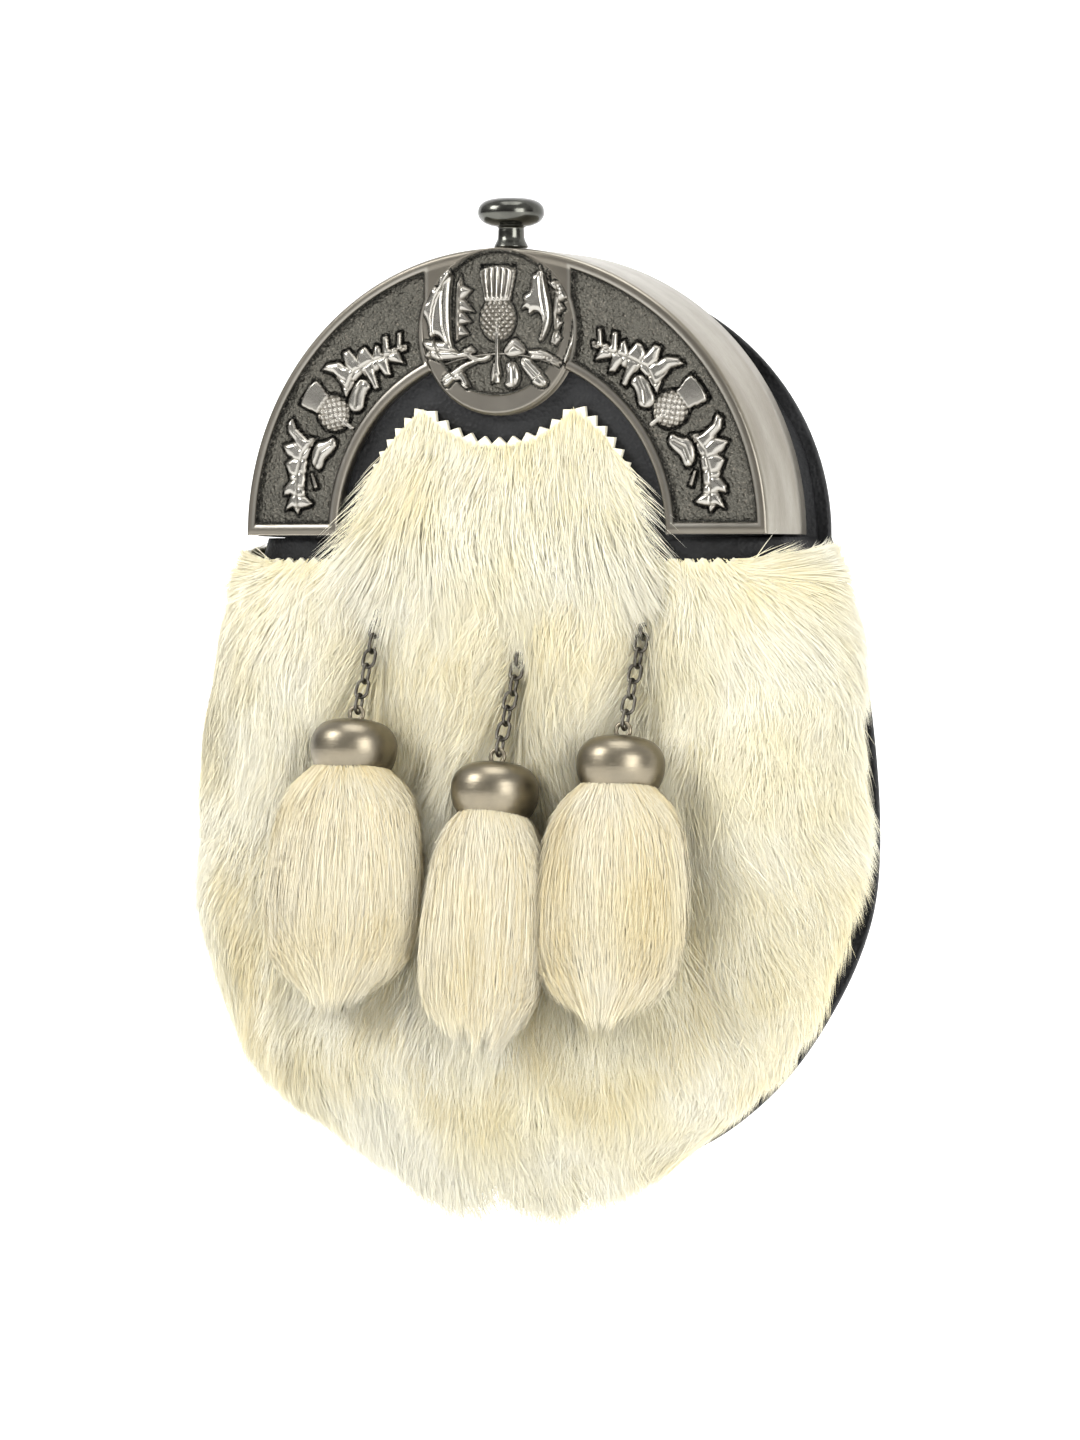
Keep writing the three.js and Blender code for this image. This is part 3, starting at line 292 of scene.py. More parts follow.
class Recipe:
    """A material's node tree, built in short calls."""

    def __init__(self, name: str) -> None:
        """Starts a material with a bare Principled surface."""
        self.material = bpy.data.materials.new(name)
        self.material.use_nodes = True
        self.tree = self.material.node_tree
        self.tree.nodes.clear()
        self.output = self.tree.nodes.new("ShaderNodeOutputMaterial")
        self.surface = self.tree.nodes.new("ShaderNodeBsdfPrincipled")
        self.tree.links.new(self.surface.outputs[0], self.output.inputs["Surface"])
        self.where = self.tree.nodes.new("ShaderNodeTexCoord").outputs["Object"]

    def feed(self, socket: Socket, value: object) -> None:
        """Links a socket to another node's output, or sets its number or colour."""
        if isinstance(value, Socket):
            self.tree.links.new(value, socket)
        elif isinstance(value, tuple) and len(value) == 3 and socket.type == "RGBA":
            socket.default_value = (*value, 1.0)
        else:
            socket.default_value = value

    def node(self, kind: str, settings: Optional[dict] = None, **inputs: object) -> bpy.types.Node:
        """Adds a node.

        Args:
            kind: the node's type, less its ShaderNode prefix.
            settings: the node's own properties.
            **inputs: its sockets by name, with underscores for spaces.

        Returns:
            The node.
        """
        made = self.tree.nodes.new("ShaderNode" + kind)
        for key, value in (settings or {}).items():
            setattr(made, key, value)
        for key, value in inputs.items():
            self.feed(made.inputs[key.replace("_", " ")], value)
        return made

    def value(self, name: str) -> Socket:
        """The number that the mesh holds under a name."""
        return self.node("Attribute", {"attribute_name": name}).outputs["Fac"]

    def maths(self, how: str, a: object, b: object = 0.0, c: object = 0.0) -> Socket:
        """A sum of two or three numbers, clamped between 0 and 1 where that is asked for by a + sign."""
        made = self.tree.nodes.new("ShaderNodeMath")
        made.operation = how.rstrip("+")
        made.use_clamp = how.endswith("+")
        for socket, value in zip(made.inputs, (a, b, c)):
            self.feed(socket, value)
        return made.outputs[0]

    def stretched(self, x: float, y: float, z: float) -> Socket:
        """The place on the object, scaled along each axis."""
        return self.node("Mapping", Vector=self.where, Scale=(x, y, z)).outputs[0]

    def noise(self, scale: float, detail: float = 3.0, where: object = None) -> Socket:
        """Cloudy noise between 0 and 1."""
        place = self.where if where is None else where
        return self.node("TexNoise", Vector=place, Scale=scale, Detail=detail, Roughness=0.55).outputs[0]

    def cells(self, scale: float) -> Socket:
        """The distance to the middle of small cells."""
        return self.node("TexVoronoi", Vector=self.where, Scale=scale).outputs["Distance"]

    def ramp(self, value: object, *stops: tuple[float, Triple]) -> Socket:
        """A colour for a number, through two or more stops."""
        made = self.node("ValToRGB", Fac=value)
        band = made.color_ramp.elements
        while len(band) < len(stops):
            band.new(0.5)
        for element, (place, colour) in zip(band, stops):
            element.position = place
            element.color = (*colour, 1.0)
        return made.outputs[0]

    def blend(self, how: str, amount: object, a: object, b: object) -> Socket:
        """Two colours mixed."""
        made = self.node("Mix", {"data_type": "RGBA", "blend_type": how})
        self.feed(made.inputs[0], amount)
        self.feed(made.inputs[6], a)
        self.feed(made.inputs[7], b)
        return made.outputs[2]

    def bump(self, height: object, strength: float, distance: float, under: object = None) -> Socket:
        """A surface normal that follows a height in metres."""
        made = self.node("Bump", Height=height, Strength=strength, Distance=distance)
        if under is not None:
            self.feed(made.inputs["Normal"], under)
        return made.outputs[0]

    def finish(self, **inputs: object) -> Material:
        """Sets the surface's sockets, with underscores for spaces, and returns the material."""
        for key, value in inputs.items():
            self.feed(self.surface.inputs[key.replace("_", " ")], value)
        return self.material


@dataclass(frozen=True)
class CastPewter:
    """Antiqued cast metal: dark in the ground with painted glints in its stipple, bright where the relief is
    rubbed, with a painted highlight along the limbs' rims, and brushed outside with painted shade along the
    skirt.

    Attributes:
        ground: the colour of the stippled ground.
        plain: the colour of the plain rims.
        rubbed: the colour of the raised metal.
        brushed: the colour of the skirt.
    """

    ground: Triple = (0.088, 0.084, 0.071)
    plain: Triple = (0.150, 0.136, 0.112)
    rubbed: Triple = (0.36, 0.345, 0.31)
    brushed: Triple = (0.385, 0.36, 0.305)

    def make(self) -> Material:
        """Builds the material, which reads the mesh's tone, brush and turn; the tone holds a painted
        highlight along the limbs' rims, and the turn drives painted shade along the skirt.
        """
        r = Recipe("cast_pewter")
        tone, brush, turn = r.value("tone"), r.value("brush"), r.value("turn")
        hollow = r.maths("SUBTRACT+", 1.0, r.maths("MULTIPLY", tone, 2.6))
        # painted glints: bright specks in the colour of the stippled ground
        glint_specks = r.maths("SUBTRACT+", r.noise(1500.0, 2.0), 0.56)
        cloud = r.maths("SUBTRACT", r.noise(60.0, 4.0), 0.5)
        level = r.maths("ADD+", tone, r.maths("MULTIPLY", cloud, 0.16))
        level = r.maths("ADD+", level, r.maths("MULTIPLY", r.maths("MULTIPLY", glint_specks, hollow), 3.2))
        colour = r.ramp(
            level, (0.0, (0.012, 0.012, 0.011)), (0.2, self.ground), (0.45, self.plain), (1.0, self.rubbed),
        )
        depth = r.node("SeparateXYZ", Vector=r.where).outputs[1]
        swept = r.node("CombineXYZ", X=r.maths("MULTIPLY", turn, 0.02), Y=depth).outputs[0]
        lines = r.noise(1800.0, 3.0, swept)
        bands = r.ramp(r.noise(95.0, 2.0, swept), (0.36, (0.74, 0.72, 0.68)), (0.62, WHITE))
        skirt = r.blend("MULTIPLY", 0.35, self.brushed, r.ramp(lines, (0.3, (0.6, 0.6, 0.6)), (0.7, WHITE)))
        # painted shade and light along the skirt: near white at the right foot, darker part way up the right
        # side, white from there over the crown to the left foot
        half_way = r.maths("DIVIDE", turn, math.pi)
        crest = r.ramp(half_way, (0.0, (0.98, 0.98, 0.98)), (0.16, (0.78, 0.755, 0.72)), (0.42, WHITE))
        skirt = r.blend("MULTIPLY", 1.0, r.blend("MULTIPLY", 1.0, skirt, crest), bands)
        colour = r.blend("MIX", brush, colour, skirt)
        pits = r.maths("MULTIPLY", hollow, r.maths("ADD", r.cells(1100.0), r.noise(1500.0, 2.0)))
        normal = r.bump(pits, 1.0, 0.0011)
        normal = r.bump(r.maths("MULTIPLY", lines, brush), 0.25, 0.00008, normal)
        normal = r.bump(r.noise(420.0, 3.0), 0.25, 0.00012, normal)
        rough = r.maths("ADD", r.maths("MULTIPLY", tone, -0.2), 0.40)
        rough = r.maths("ADD", rough, r.maths("MULTIPLY", r.noise(300.0), 0.1))
        return r.finish(Base_Color=colour, Metallic=1.0, Roughness=rough, Normal=normal)


@dataclass(frozen=True)
class TurnedMetal:
    """Smooth metal turned on a lathe, with faint wear.

    Attributes:
        name: the material's name.
        colour: the metal's colour.
        dark: the colour of the tarnish in patches.
        rough: how dull the surface is.
        turned: how deep the marks of the lathe are.
    """

    name: str
    colour: Triple
    dark: Triple
    rough: float
    turned: float = 0.12

    def make(self) -> Material:
        """Builds the material."""
        r = Recipe(self.name)
        patches = r.noise(150.0, 5.0)
        colour = r.ramp(patches, (0.3, self.dark), (0.62, self.colour))
        rings = r.noise(900.0, 2.0, r.stretched(0.25, 0.25, 3.0))
        normal = r.bump(rings, self.turned, 0.00006)
        rough = r.maths("ADD", self.rough, r.maths("MULTIPLY", r.noise(700.0, 3.0), 0.12))
        return r.finish(Base_Color=colour, Metallic=1.0, Roughness=rough, Normal=normal)


@dataclass(frozen=True)
class BlackLeather:
    """Black dyed leather with a fine grain and a low shine.

    Attributes:
        colour: the dye's colour.
        worn: the colour where it is rubbed.
    """

    colour: Triple = (0.005, 0.005, 0.0052)
    worn: Triple = (0.021, 0.0215, 0.0225)

    def make(self) -> Material:
        """Builds the material."""
        r = Recipe("black_leather")
        rub = r.noise(45.0, 6.0)
        colour = r.ramp(rub, (0.35, self.colour), (0.75, self.worn))
        pores = r.cells(900.0)
        folds = r.noise(160.0, 5.0)
        normal = r.bump(pores, 0.7, 0.0003)
        normal = r.bump(folds, 0.6, 0.0012, normal)
        rough = r.maths("ADD", 0.40, r.maths("MULTIPLY", rub, 0.3))
        r.surface.inputs["Specular IOR Level"].default_value = 0.24
        return r.finish(Base_Color=colour, Roughness=rough, Normal=normal)


@dataclass(frozen=True)
class FurFinish:
    """Cream hair, warmer and darker at its roots and paler at its tips; the roots' colour is partly the
    hair's own tint and partly painted warm shade deep in the coat.

    Attributes:
        name: the material's name.
        root: the colour near the hide, partly painted warm shade.
        middle: the colour half way along a hair.
        tip: the colour of a hair's end.
        warm: the tint of the warmer patches.
        softness: how far a hair is shaded as the coat round it rather than as a ribbon.
    """

    name: str
    root: Triple
    middle: Triple
    tip: Triple
    warm: Triple
    softness: float = 0.88

    def make(self) -> Material:
        """Builds the material, which reads each hair's along and tint; tints below 0 take warm colours, which
        on the coat are partly painted shade round the tassels.
        """
        r = Recipe(self.name)
        along, tint = r.value("along"), r.value("tint")
        # the root stop is partly painted warm shade near the hide
        colour = r.ramp(along, (0.0, self.root), (0.45, self.middle), (1.0, self.tip))
        patches = r.ramp(r.noise(26.0, 3.0), (0.42, WHITE), (0.68, self.warm))
        colour = r.blend("MULTIPLY", 1.0, colour, patches)
        # tints below 0, from yellowed patches and painted warm shade round the tassels, take the warm stop
        half = r.maths("MULTIPLY_ADD", tint, 0.5, 0.5)
        shade = r.ramp(half, (0.0, (0.87, 0.785, 0.58)), (0.5, (0.955, 0.935, 0.87)), (0.7, WHITE))
        colour = r.blend("MULTIPLY", 1.0, colour, shade)
        lie = r.node("Attribute", {"attribute_name": "lie"}).outputs["Vector"]
        own = r.node("NewGeometry").outputs["Normal"]
        normal = r.node("Mix", {"data_type": "VECTOR"})
        r.feed(normal.inputs[0], self.softness)
        r.feed(normal.inputs[4], own)
        r.feed(normal.inputs[5], lie)
        soft = r.node("VectorMath", {"operation": "NORMALIZE"})
        r.feed(soft.inputs[0], normal.outputs[1])
        r.finish(Base_Color=colour, Roughness=0.55, Normal=soft.outputs[0])
        r.surface.inputs["Specular IOR Level"].default_value = 0.25
        through = r.node("BsdfTranslucent", Color=colour, Normal=soft.outputs[0])
        both = r.node("MixShader", Fac=0.35)
        r.tree.links.new(r.surface.outputs[0], both.inputs[1])
        r.tree.links.new(through.outputs[0], both.inputs[2])
        r.tree.links.new(both.outputs[0], r.output.inputs["Surface"])
        return r.material


@dataclass(frozen=True)
class UndercoatShadeFinish:
    """The undercoat that shows between hairs, coloured darker than the hair as painted shade of the coat's
    depth, and streaked along them with deeper painted shade.

    Attributes:
        name: the material's name.
        colour: the undercoat's colour, darkened as painted shade.
        deep: the deeper painted shade in its streaks.
    """

    name: str
    colour: Triple = (0.83, 0.79, 0.64)
    deep: Triple = (0.76, 0.70, 0.52)

    def make(self) -> Material:
        """Builds the material."""
        r = Recipe(self.name)
        streaks = r.noise(1400.0, 4.0, r.stretched(1.0, 1.0, 0.10))
        # painted shade: the undercoat darker than the hair, with deeper streaks
        colour = r.ramp(streaks, (0.3, self.deep), (0.65, self.colour))
        return r.finish(Base_Color=colour, Roughness=0.9, Normal=r.bump(streaks, 0.5, 0.0005))


# the cast cantle

@dataclass(frozen=True)
class Leaf:
    """A leaf, ribbon or curl in low relief, drawn by its outline.

    Attributes:
        outline: its corners as x and z.
        spine: the line that its two faces fold along, or nothing for a plain dome.
        height: how far it stands off the ground.
        soft: how many times its corners are cut off.
    """

    outline: tuple[Pair, ...]
    spine: tuple[Pair, ...] = ()
    height: float = 1.35
    soft: int = 0

    @staticmethod
    def away(x: Array, z: Array, line: Array) -> Array:
        """How far places lie from a line of straight stretches."""
        best = np.full(x.shape, 1e3)
        for (ax, az), (bx, bz) in zip(line[:-1], line[1:]):
            ux, uz = bx - ax, bz - az
            t = np.clip(((x - ax) * ux + (z - az) * uz) / (ux * ux + uz * uz), 0.0, 1.0)
            best = np.minimum(best, np.hypot(x - ax - t * ux, z - az - t * uz))
        return best

    @staticmethod
    def within(x: Array, z: Array, line: Array) -> Array:
        """Whether places lie inside a closed line."""
        inside = np.zeros(x.shape, bool)
        for (ax, az), (bx, bz) in zip(line[:-1], line[1:]):
            if az != bz:
                inside ^= ((az > z) != (bz > z)) & (x < ax + (z - az) * (bx - ax) / (bz - az))
        return inside

    def creases(self, line: Array) -> list[Array]:
        """Short lines from the notches of the outline most of the way to the spine."""
        back, on = line - np.roll(line, 1, axis=0), np.roll(line, -1, axis=0) - line
        turn = back[:, 0] * on[:, 1] - back[:, 1] * on[:, 0]
        area = np.sum(line[:, 0] * np.roll(line[:, 1], -1) - line[:, 1] * np.roll(line[:, 0], -1))
        spine, run = np.array(self.spine), np.linspace(0.0, len(self.spine) - 1, 40)
        fine = np.stack([np.interp(run, range(len(spine)), spine[:, k]) for k in range(2)], 1)
        found = []
        for notch in line[turn * area < 0]:
            goal = fine[np.argmin(np.hypot(*(fine - notch).T))]
            found.append(np.array([notch, notch + 0.72 * (goal - notch) + 1e-4]))
        return found

    def relief(self, x: Array, z: Array) -> Array:
        """The leaf's height above the ground.

        Args:
            x: places across.
            z: places up.

        Returns:
            Heights in millimetres, below 0 in the groove round the leaf and 0 off it.
        """
        line = np.array(self.outline)
        creases = self.creases(line) if self.spine and not self.soft else []
        for _ in range(self.soft):
            ahead = np.roll(line, -1, axis=0)
            line = np.stack([0.75 * line + 0.25 * ahead, 0.25 * line + 0.75 * ahead], 1).reshape(-1, 2)
        line = np.vstack([line, line[:1]])
        height = np.zeros_like(x)
        low, high = line.min(0) - 1.2, line.max(0) + 1.2
        near = (x > low[0]) & (x < high[0]) & (z > low[1]) & (z < high[1])
        px, pz = x[near], z[near]
        away, inside = self.away(px, pz, line), self.within(px, pz, line)
        if self.spine:
            middle = self.away(px, pz, np.array(self.spine))
            crown = 0.6 + 0.4 * smooth(0.0, 1.5, away) - 0.42 * np.exp(-((middle / 0.3) ** 2))
        else:
            crown = 0.62 + 0.38 * smooth(0.0, 1.3, away)
        for crease in creases:
            crown = crown - 0.4 * np.exp(-((self.away(px, pz, crease) / 0.28) ** 2))
        raised = smooth(0.0, 0.36, away) * self.height * np.maximum(crown, 0.12)
        height[near] = np.where(inside, raised, -CHASED * np.exp(-((away / 0.34) ** 2)))
        return height


@dataclass(frozen=True)
class Thistle:
    """A thistle head in relief: a netted bulb, a tuft and a stem.

    Attributes:
        middle: the bulb's middle, as x and z.
        turn: the way that the tuft points, in degrees up from the right.
        bulb: the bulb's half length and half breadth.
        tuft: the tuft's length and half breadth at its mouth.
        flutes: how many flutes run along the tuft, or 0 for a plain one.
        stem: the stem's length.
    """

    middle: Pair
    turn: float
    bulb: Pair
    tuft: Pair
    flutes: int
    stem: float

    def relief(self, x: Array, z: Array) -> Array:
        """The thistle's height above the ground.

        Args:
            x: places across.
            z: places up.

        Returns:
            Heights in millimetres, below 0 in the groove round the thistle and 0 off it.
        """
        cos, sin = math.cos(math.radians(self.turn)), math.sin(math.radians(self.turn))
        along = (x - self.middle[0]) * cos + (z - self.middle[1]) * sin
        aside = -(x - self.middle[0]) * sin + (z - self.middle[1]) * cos
        length, breadth = self.bulb
        ball = 1.0 - (along / length) ** 2 - (aside / breadth) ** 2
        pitch = 2.0
        wide = aside / np.sqrt(np.clip(1.0 - (along / length) ** 2, 0.15, 1.0))
        one, two = (along + wide) / pitch, (along - wide) / pitch
        net = np.abs(np.sin(np.pi * one)) * np.abs(np.sin(np.pi * two))
        dome = (0.6 + 1.25 * net) * np.sqrt(np.clip(ball, 0.0, 1.0))
        reach, mouth = self.tuft
        run = (along - 0.72 * length) / reach
        half = mouth * (0.74 + 0.26 * smooth(0.0, 0.8, run))
        crest = run + 0.13 * (aside / half) ** 2
        body = smooth(0.0, 0.3, half - np.abs(aside)) * smooth(0.0, 0.05, run) * smooth(1.0, 0.94, crest)
        tall = 0.95 + 0.2 * np.sqrt(np.clip(1.0 - (aside / half) ** 2, 0.0, 1.0))
        if self.flutes:
            tall = tall + 0.5 * np.cos(2 * np.pi * self.flutes * aside / (2 * half)) * smooth(0.05, 0.2, run)
        tuft = body * tall
        tail = smooth(0.0, 0.25, 0.62 - np.abs(aside)) * (along < 0)
        tail = tail * smooth(0.0, 0.4, along + length + self.stem)
        stalk = tail * (0.75 + 0.35 * np.sqrt(np.clip(1.0 - (aside / 0.62) ** 2, 0.0, 1.0)))
        raised = np.maximum.reduce([dome * (ball > 0), tuft, stalk])
        off_bulb = (np.sqrt(1.0 - ball) - 1.0) * breadth
        off_ends = np.maximum(np.abs(run - 0.5) - 0.5, 0.0) * reach
        off_tuft = np.hypot(np.maximum(np.abs(aside) - half, 0.0), off_ends)
        away = np.minimum(np.maximum(off_bulb, 0.0), off_tuft)
        return np.where(raised > 0.0, raised, -CHASED * np.exp(-((away / 0.36) ** 2)))


LIMB_LEAVES = (
    Leaf((
        (59.7, 30.8), (58.5, 28.0), (55.8, 25.8), (52.2, 25.3), (54.0, 22.7), (55.2, 19.6), (55.8, 15.7),
        (56.1, 12.3), (55.8, 10.2), (53.5, 8.1), (55.0, 7.3), (57.4, 6.8), (58.0, 5.0), (59.8, 7.1),
        (62.2, 6.3), (61.0, 9.2), (60.4, 10.5), (62.5, 10.3), (62.5, 12.3), (60.7, 14.4), (61.0, 16.0),
        (62.2, 18.9), (60.3, 20.2), (61.6, 21.0), (63.1, 23.6), (59.4, 24.6), (61.2, 26.7), (61.5, 29.3),
    ), ((52.8, 25.2), (56.6, 21.2), (58.2, 15.7), (58.3, 11.6), (58.2, 7.4))),
    Leaf((
        (52.5, 24.5), (49.9, 24.5), (47.5, 26.0), (46.3, 23.4), (48.1, 21.1), (50.2, 19.5), (51.1, 16.7),
        (53.1, 17.0), (54.3, 19.1), (54.0, 21.9),
    ), ((53.0, 18.0), (51.4, 22.0), (48.4, 23.6)), 1.3, 1),
    Leaf(((54.6, 16.2), (53.7, 16.5), (52.0, 12.3), (53.4, 11.8)), (), 1.1),
    Leaf((
        (43.9, 35.3), (45.4, 39.2), (47.8, 41.9), (51.3, 43.0), (49.5, 44.7), (46.0, 45.2), (44.2, 44.1),
        (45.1, 47.5), (43.0, 48.3), (40.9, 46.2), (40.1, 48.0), (38.3, 49.0), (36.2, 46.9), (35.4, 49.4),
        (33.9, 49.1), (33.3, 47.3), (33.3, 51.5), (31.6, 51.7), (31.0, 48.3), (29.2, 48.8), (28.9, 52.4),
        (27.5, 52.6), (27.5, 49.3), (25.8, 49.3), (26.0, 47.5), (28.1, 47.0), (26.6, 44.1), (29.5, 44.4),
        (31.3, 44.7), (30.4, 41.1), (32.4, 41.1), (33.9, 42.7), (35.1, 41.9), (33.9, 38.0), (35.4, 37.3),
        (36.5, 39.1), (38.9, 41.7), (41.0, 39.7),
    ), ((43.4, 38.0), (41.2, 42.4), (36.0, 44.9), (31.0, 46.5), (26.6, 48.4))),
    Leaf((
        (41.5, 39.2), (39.2, 40.9), (37.1, 39.9), (36.3, 38.1), (37.7, 36.8), (38.3, 34.7), (38.6, 32.4),
        (40.7, 31.6), (42.7, 32.2), (43.6, 34.5), (42.4, 37.1),
    ), ((39.0, 39.6), (40.4, 36.6), (40.8, 33.2)), 1.3, 1),
)

DISC_LEAVES = (
    Leaf((
        (-12.3, 46.5), (-13.1, 51.1), (-13.4, 55.7), (-13.4, 60.3), (-13.1, 64.2), (-12.5, 66.7),
        (-14.2, 70.1), (-15.7, 70.2), (-16.2, 67.6), (-16.2, 64.0), (-17.1, 63.5), (-19.1, 66.1),
        (-18.5, 60.5), (-22.0, 60.3), (-21.7, 57.7), (-19.4, 55.1), (-18.8, 50.2), (-17.4, 51.4),
        (-15.1, 49.3),
    ), ((-13.6, 48.4), (-15.3, 54.0), (-15.6, 60.0), (-14.6, 68.6)), 1.7, 1),
    Leaf((
        (-12.0, 49.5), (-12.2, 55.7), (-12.0, 60.8), (-11.7, 64.4), (-10.5, 67.0), (-9.7, 64.1), (-7.1, 62.8),
        (-9.4, 60.5), (-6.6, 57.1), (-9.7, 57.2), (-7.4, 54.6), (-10.0, 53.9), (-8.0, 51.5), (-10.0, 50.8),
    ), ((-11.2, 50.6), (-10.9, 58.0), (-10.6, 65.4)), 1.35),
    Leaf((
        (12.2, 69.5), (13.1, 66.0), (13.9, 62.4), (14.7, 59.0), (15.0, 55.7), (14.5, 52.7), (12.8, 49.6),
        (11.1, 49.2), (12.2, 52.2), (12.5, 55.3), (10.9, 57.3), (8.6, 55.8), (8.3, 58.1), (6.1, 57.2),
        (7.5, 59.4), (6.7, 61.0), (9.2, 62.5), (9.2, 66.5), (11.1, 67.0),
    ), ((12.2, 50.2), (13.5, 55.5), (12.4, 61.0), (11.8, 68.2)), 1.7, 1),
    Leaf((
        (15.6, 69.7), (14.7, 66.9), (14.7, 64.6), (16.4, 64.9), (18.1, 64.3), (19.2, 66.6), (19.7, 64.5),
        (21.6, 63.5), (19.2, 62.5), (20.3, 60.5), (18.1, 59.2), (19.2, 57.4), (16.7, 55.9), (18.3, 53.9),
        (16.7, 52.1), (18.3, 50.1), (16.4, 48.1), (14.5, 48.9), (15.6, 52.1), (15.3, 56.7), (15.6, 60.6),
        (16.4, 62.3), (13.9, 63.9), (14.2, 67.5),
    ), ((16.0, 49.4), (16.5, 56.0), (17.4, 61.6), (16.0, 66.4)), 1.35),
    Leaf((
        (20.3, 60.5), (21.4, 57.1), (21.1, 52.1), (20.3, 48.0), (18.6, 44.2), (19.4, 42.9), (21.1, 46.5),
        (22.5, 52.0), (22.7, 56.9), (21.6, 60.4),
    ), (), 1.5, 1),
    Leaf((
        (-23.2, 49.5), (-19.1, 50.2), (-14.5, 49.8), (-11.1, 47.0), (-7.7, 48.7), (-6.0, 47.1), (-8.8, 45.4),
        (-12.8, 44.9), (-16.3, 44.7), (-18.5, 45.5), (-21.7, 45.6), (-19.4, 47.3), (-20.6, 48.7),
    ), ((-21.6, 47.6), (-14.0, 47.2), (-7.4, 47.0)), 1.3),
    Leaf((
        (-7.7, 45.1), (-12.0, 43.1), (-16.0, 40.3), (-14.3, 37.2), (-11.1, 40.3), (-9.4, 37.7), (-7.4, 37.1),
        (-8.8, 40.5), (-10.0, 42.1), (-6.6, 43.8), (-2.6, 44.8),
    ), ((-14.6, 39.4), (-10.4, 42.0), (-4.0, 44.8)), 1.5, 1),
    Leaf((
        (-9.7, 48.5), (-7.7, 46.4), (-4.6, 45.6), (-2.0, 46.8), (-1.5, 45.3), (-3.7, 44.0), (-7.7, 44.3),
        (-10.0, 46.7),
    ), (), 1.2, 1),
    Leaf(
        ((-1.8, 38.6), (-2.0, 41.4), (-1.2, 44.2), (0.5, 44.2), (1.1, 40.9)),
        ((-0.8, 39.6), (-0.4, 43.6)), 1.4,
    ),
    Leaf((
        (6.4, 45.4), (8.6, 45.6), (10.9, 43.0), (14.7, 39.4), (14.2, 37.6), (11.4, 37.4), (8.6, 40.3),
        (6.4, 43.1),
    ), ((7.2, 44.4), (13.4, 38.4)), 1.55, 1),
    Leaf((
        (8.1, 47.2), (12.0, 47.4), (16.4, 45.3), (18.6, 43.9), (17.5, 42.7), (13.1, 44.3), (9.2, 44.6),
    ), ((9.0, 46.0), (13.0, 45.8), (17.8, 43.4)), 1.4),
    Leaf((
        (1.9, 43.7), (4.1, 44.7), (6.1, 42.6), (6.4, 38.8), (3.9, 37.0), (1.6, 38.1), (2.7, 40.6),
    ), ((4.2, 43.8), (4.6, 38.0)), 1.45, 1),
    Leaf((
        (2.2, 48.5), (4.4, 50.8), (6.9, 49.0), (8.3, 46.6), (5.8, 45.4), (3.0, 45.2), (1.3, 46.8),
    ), ((2.6, 46.8), (4.6, 48.6), (7.0, 47.0)), 1.25, 1),
)


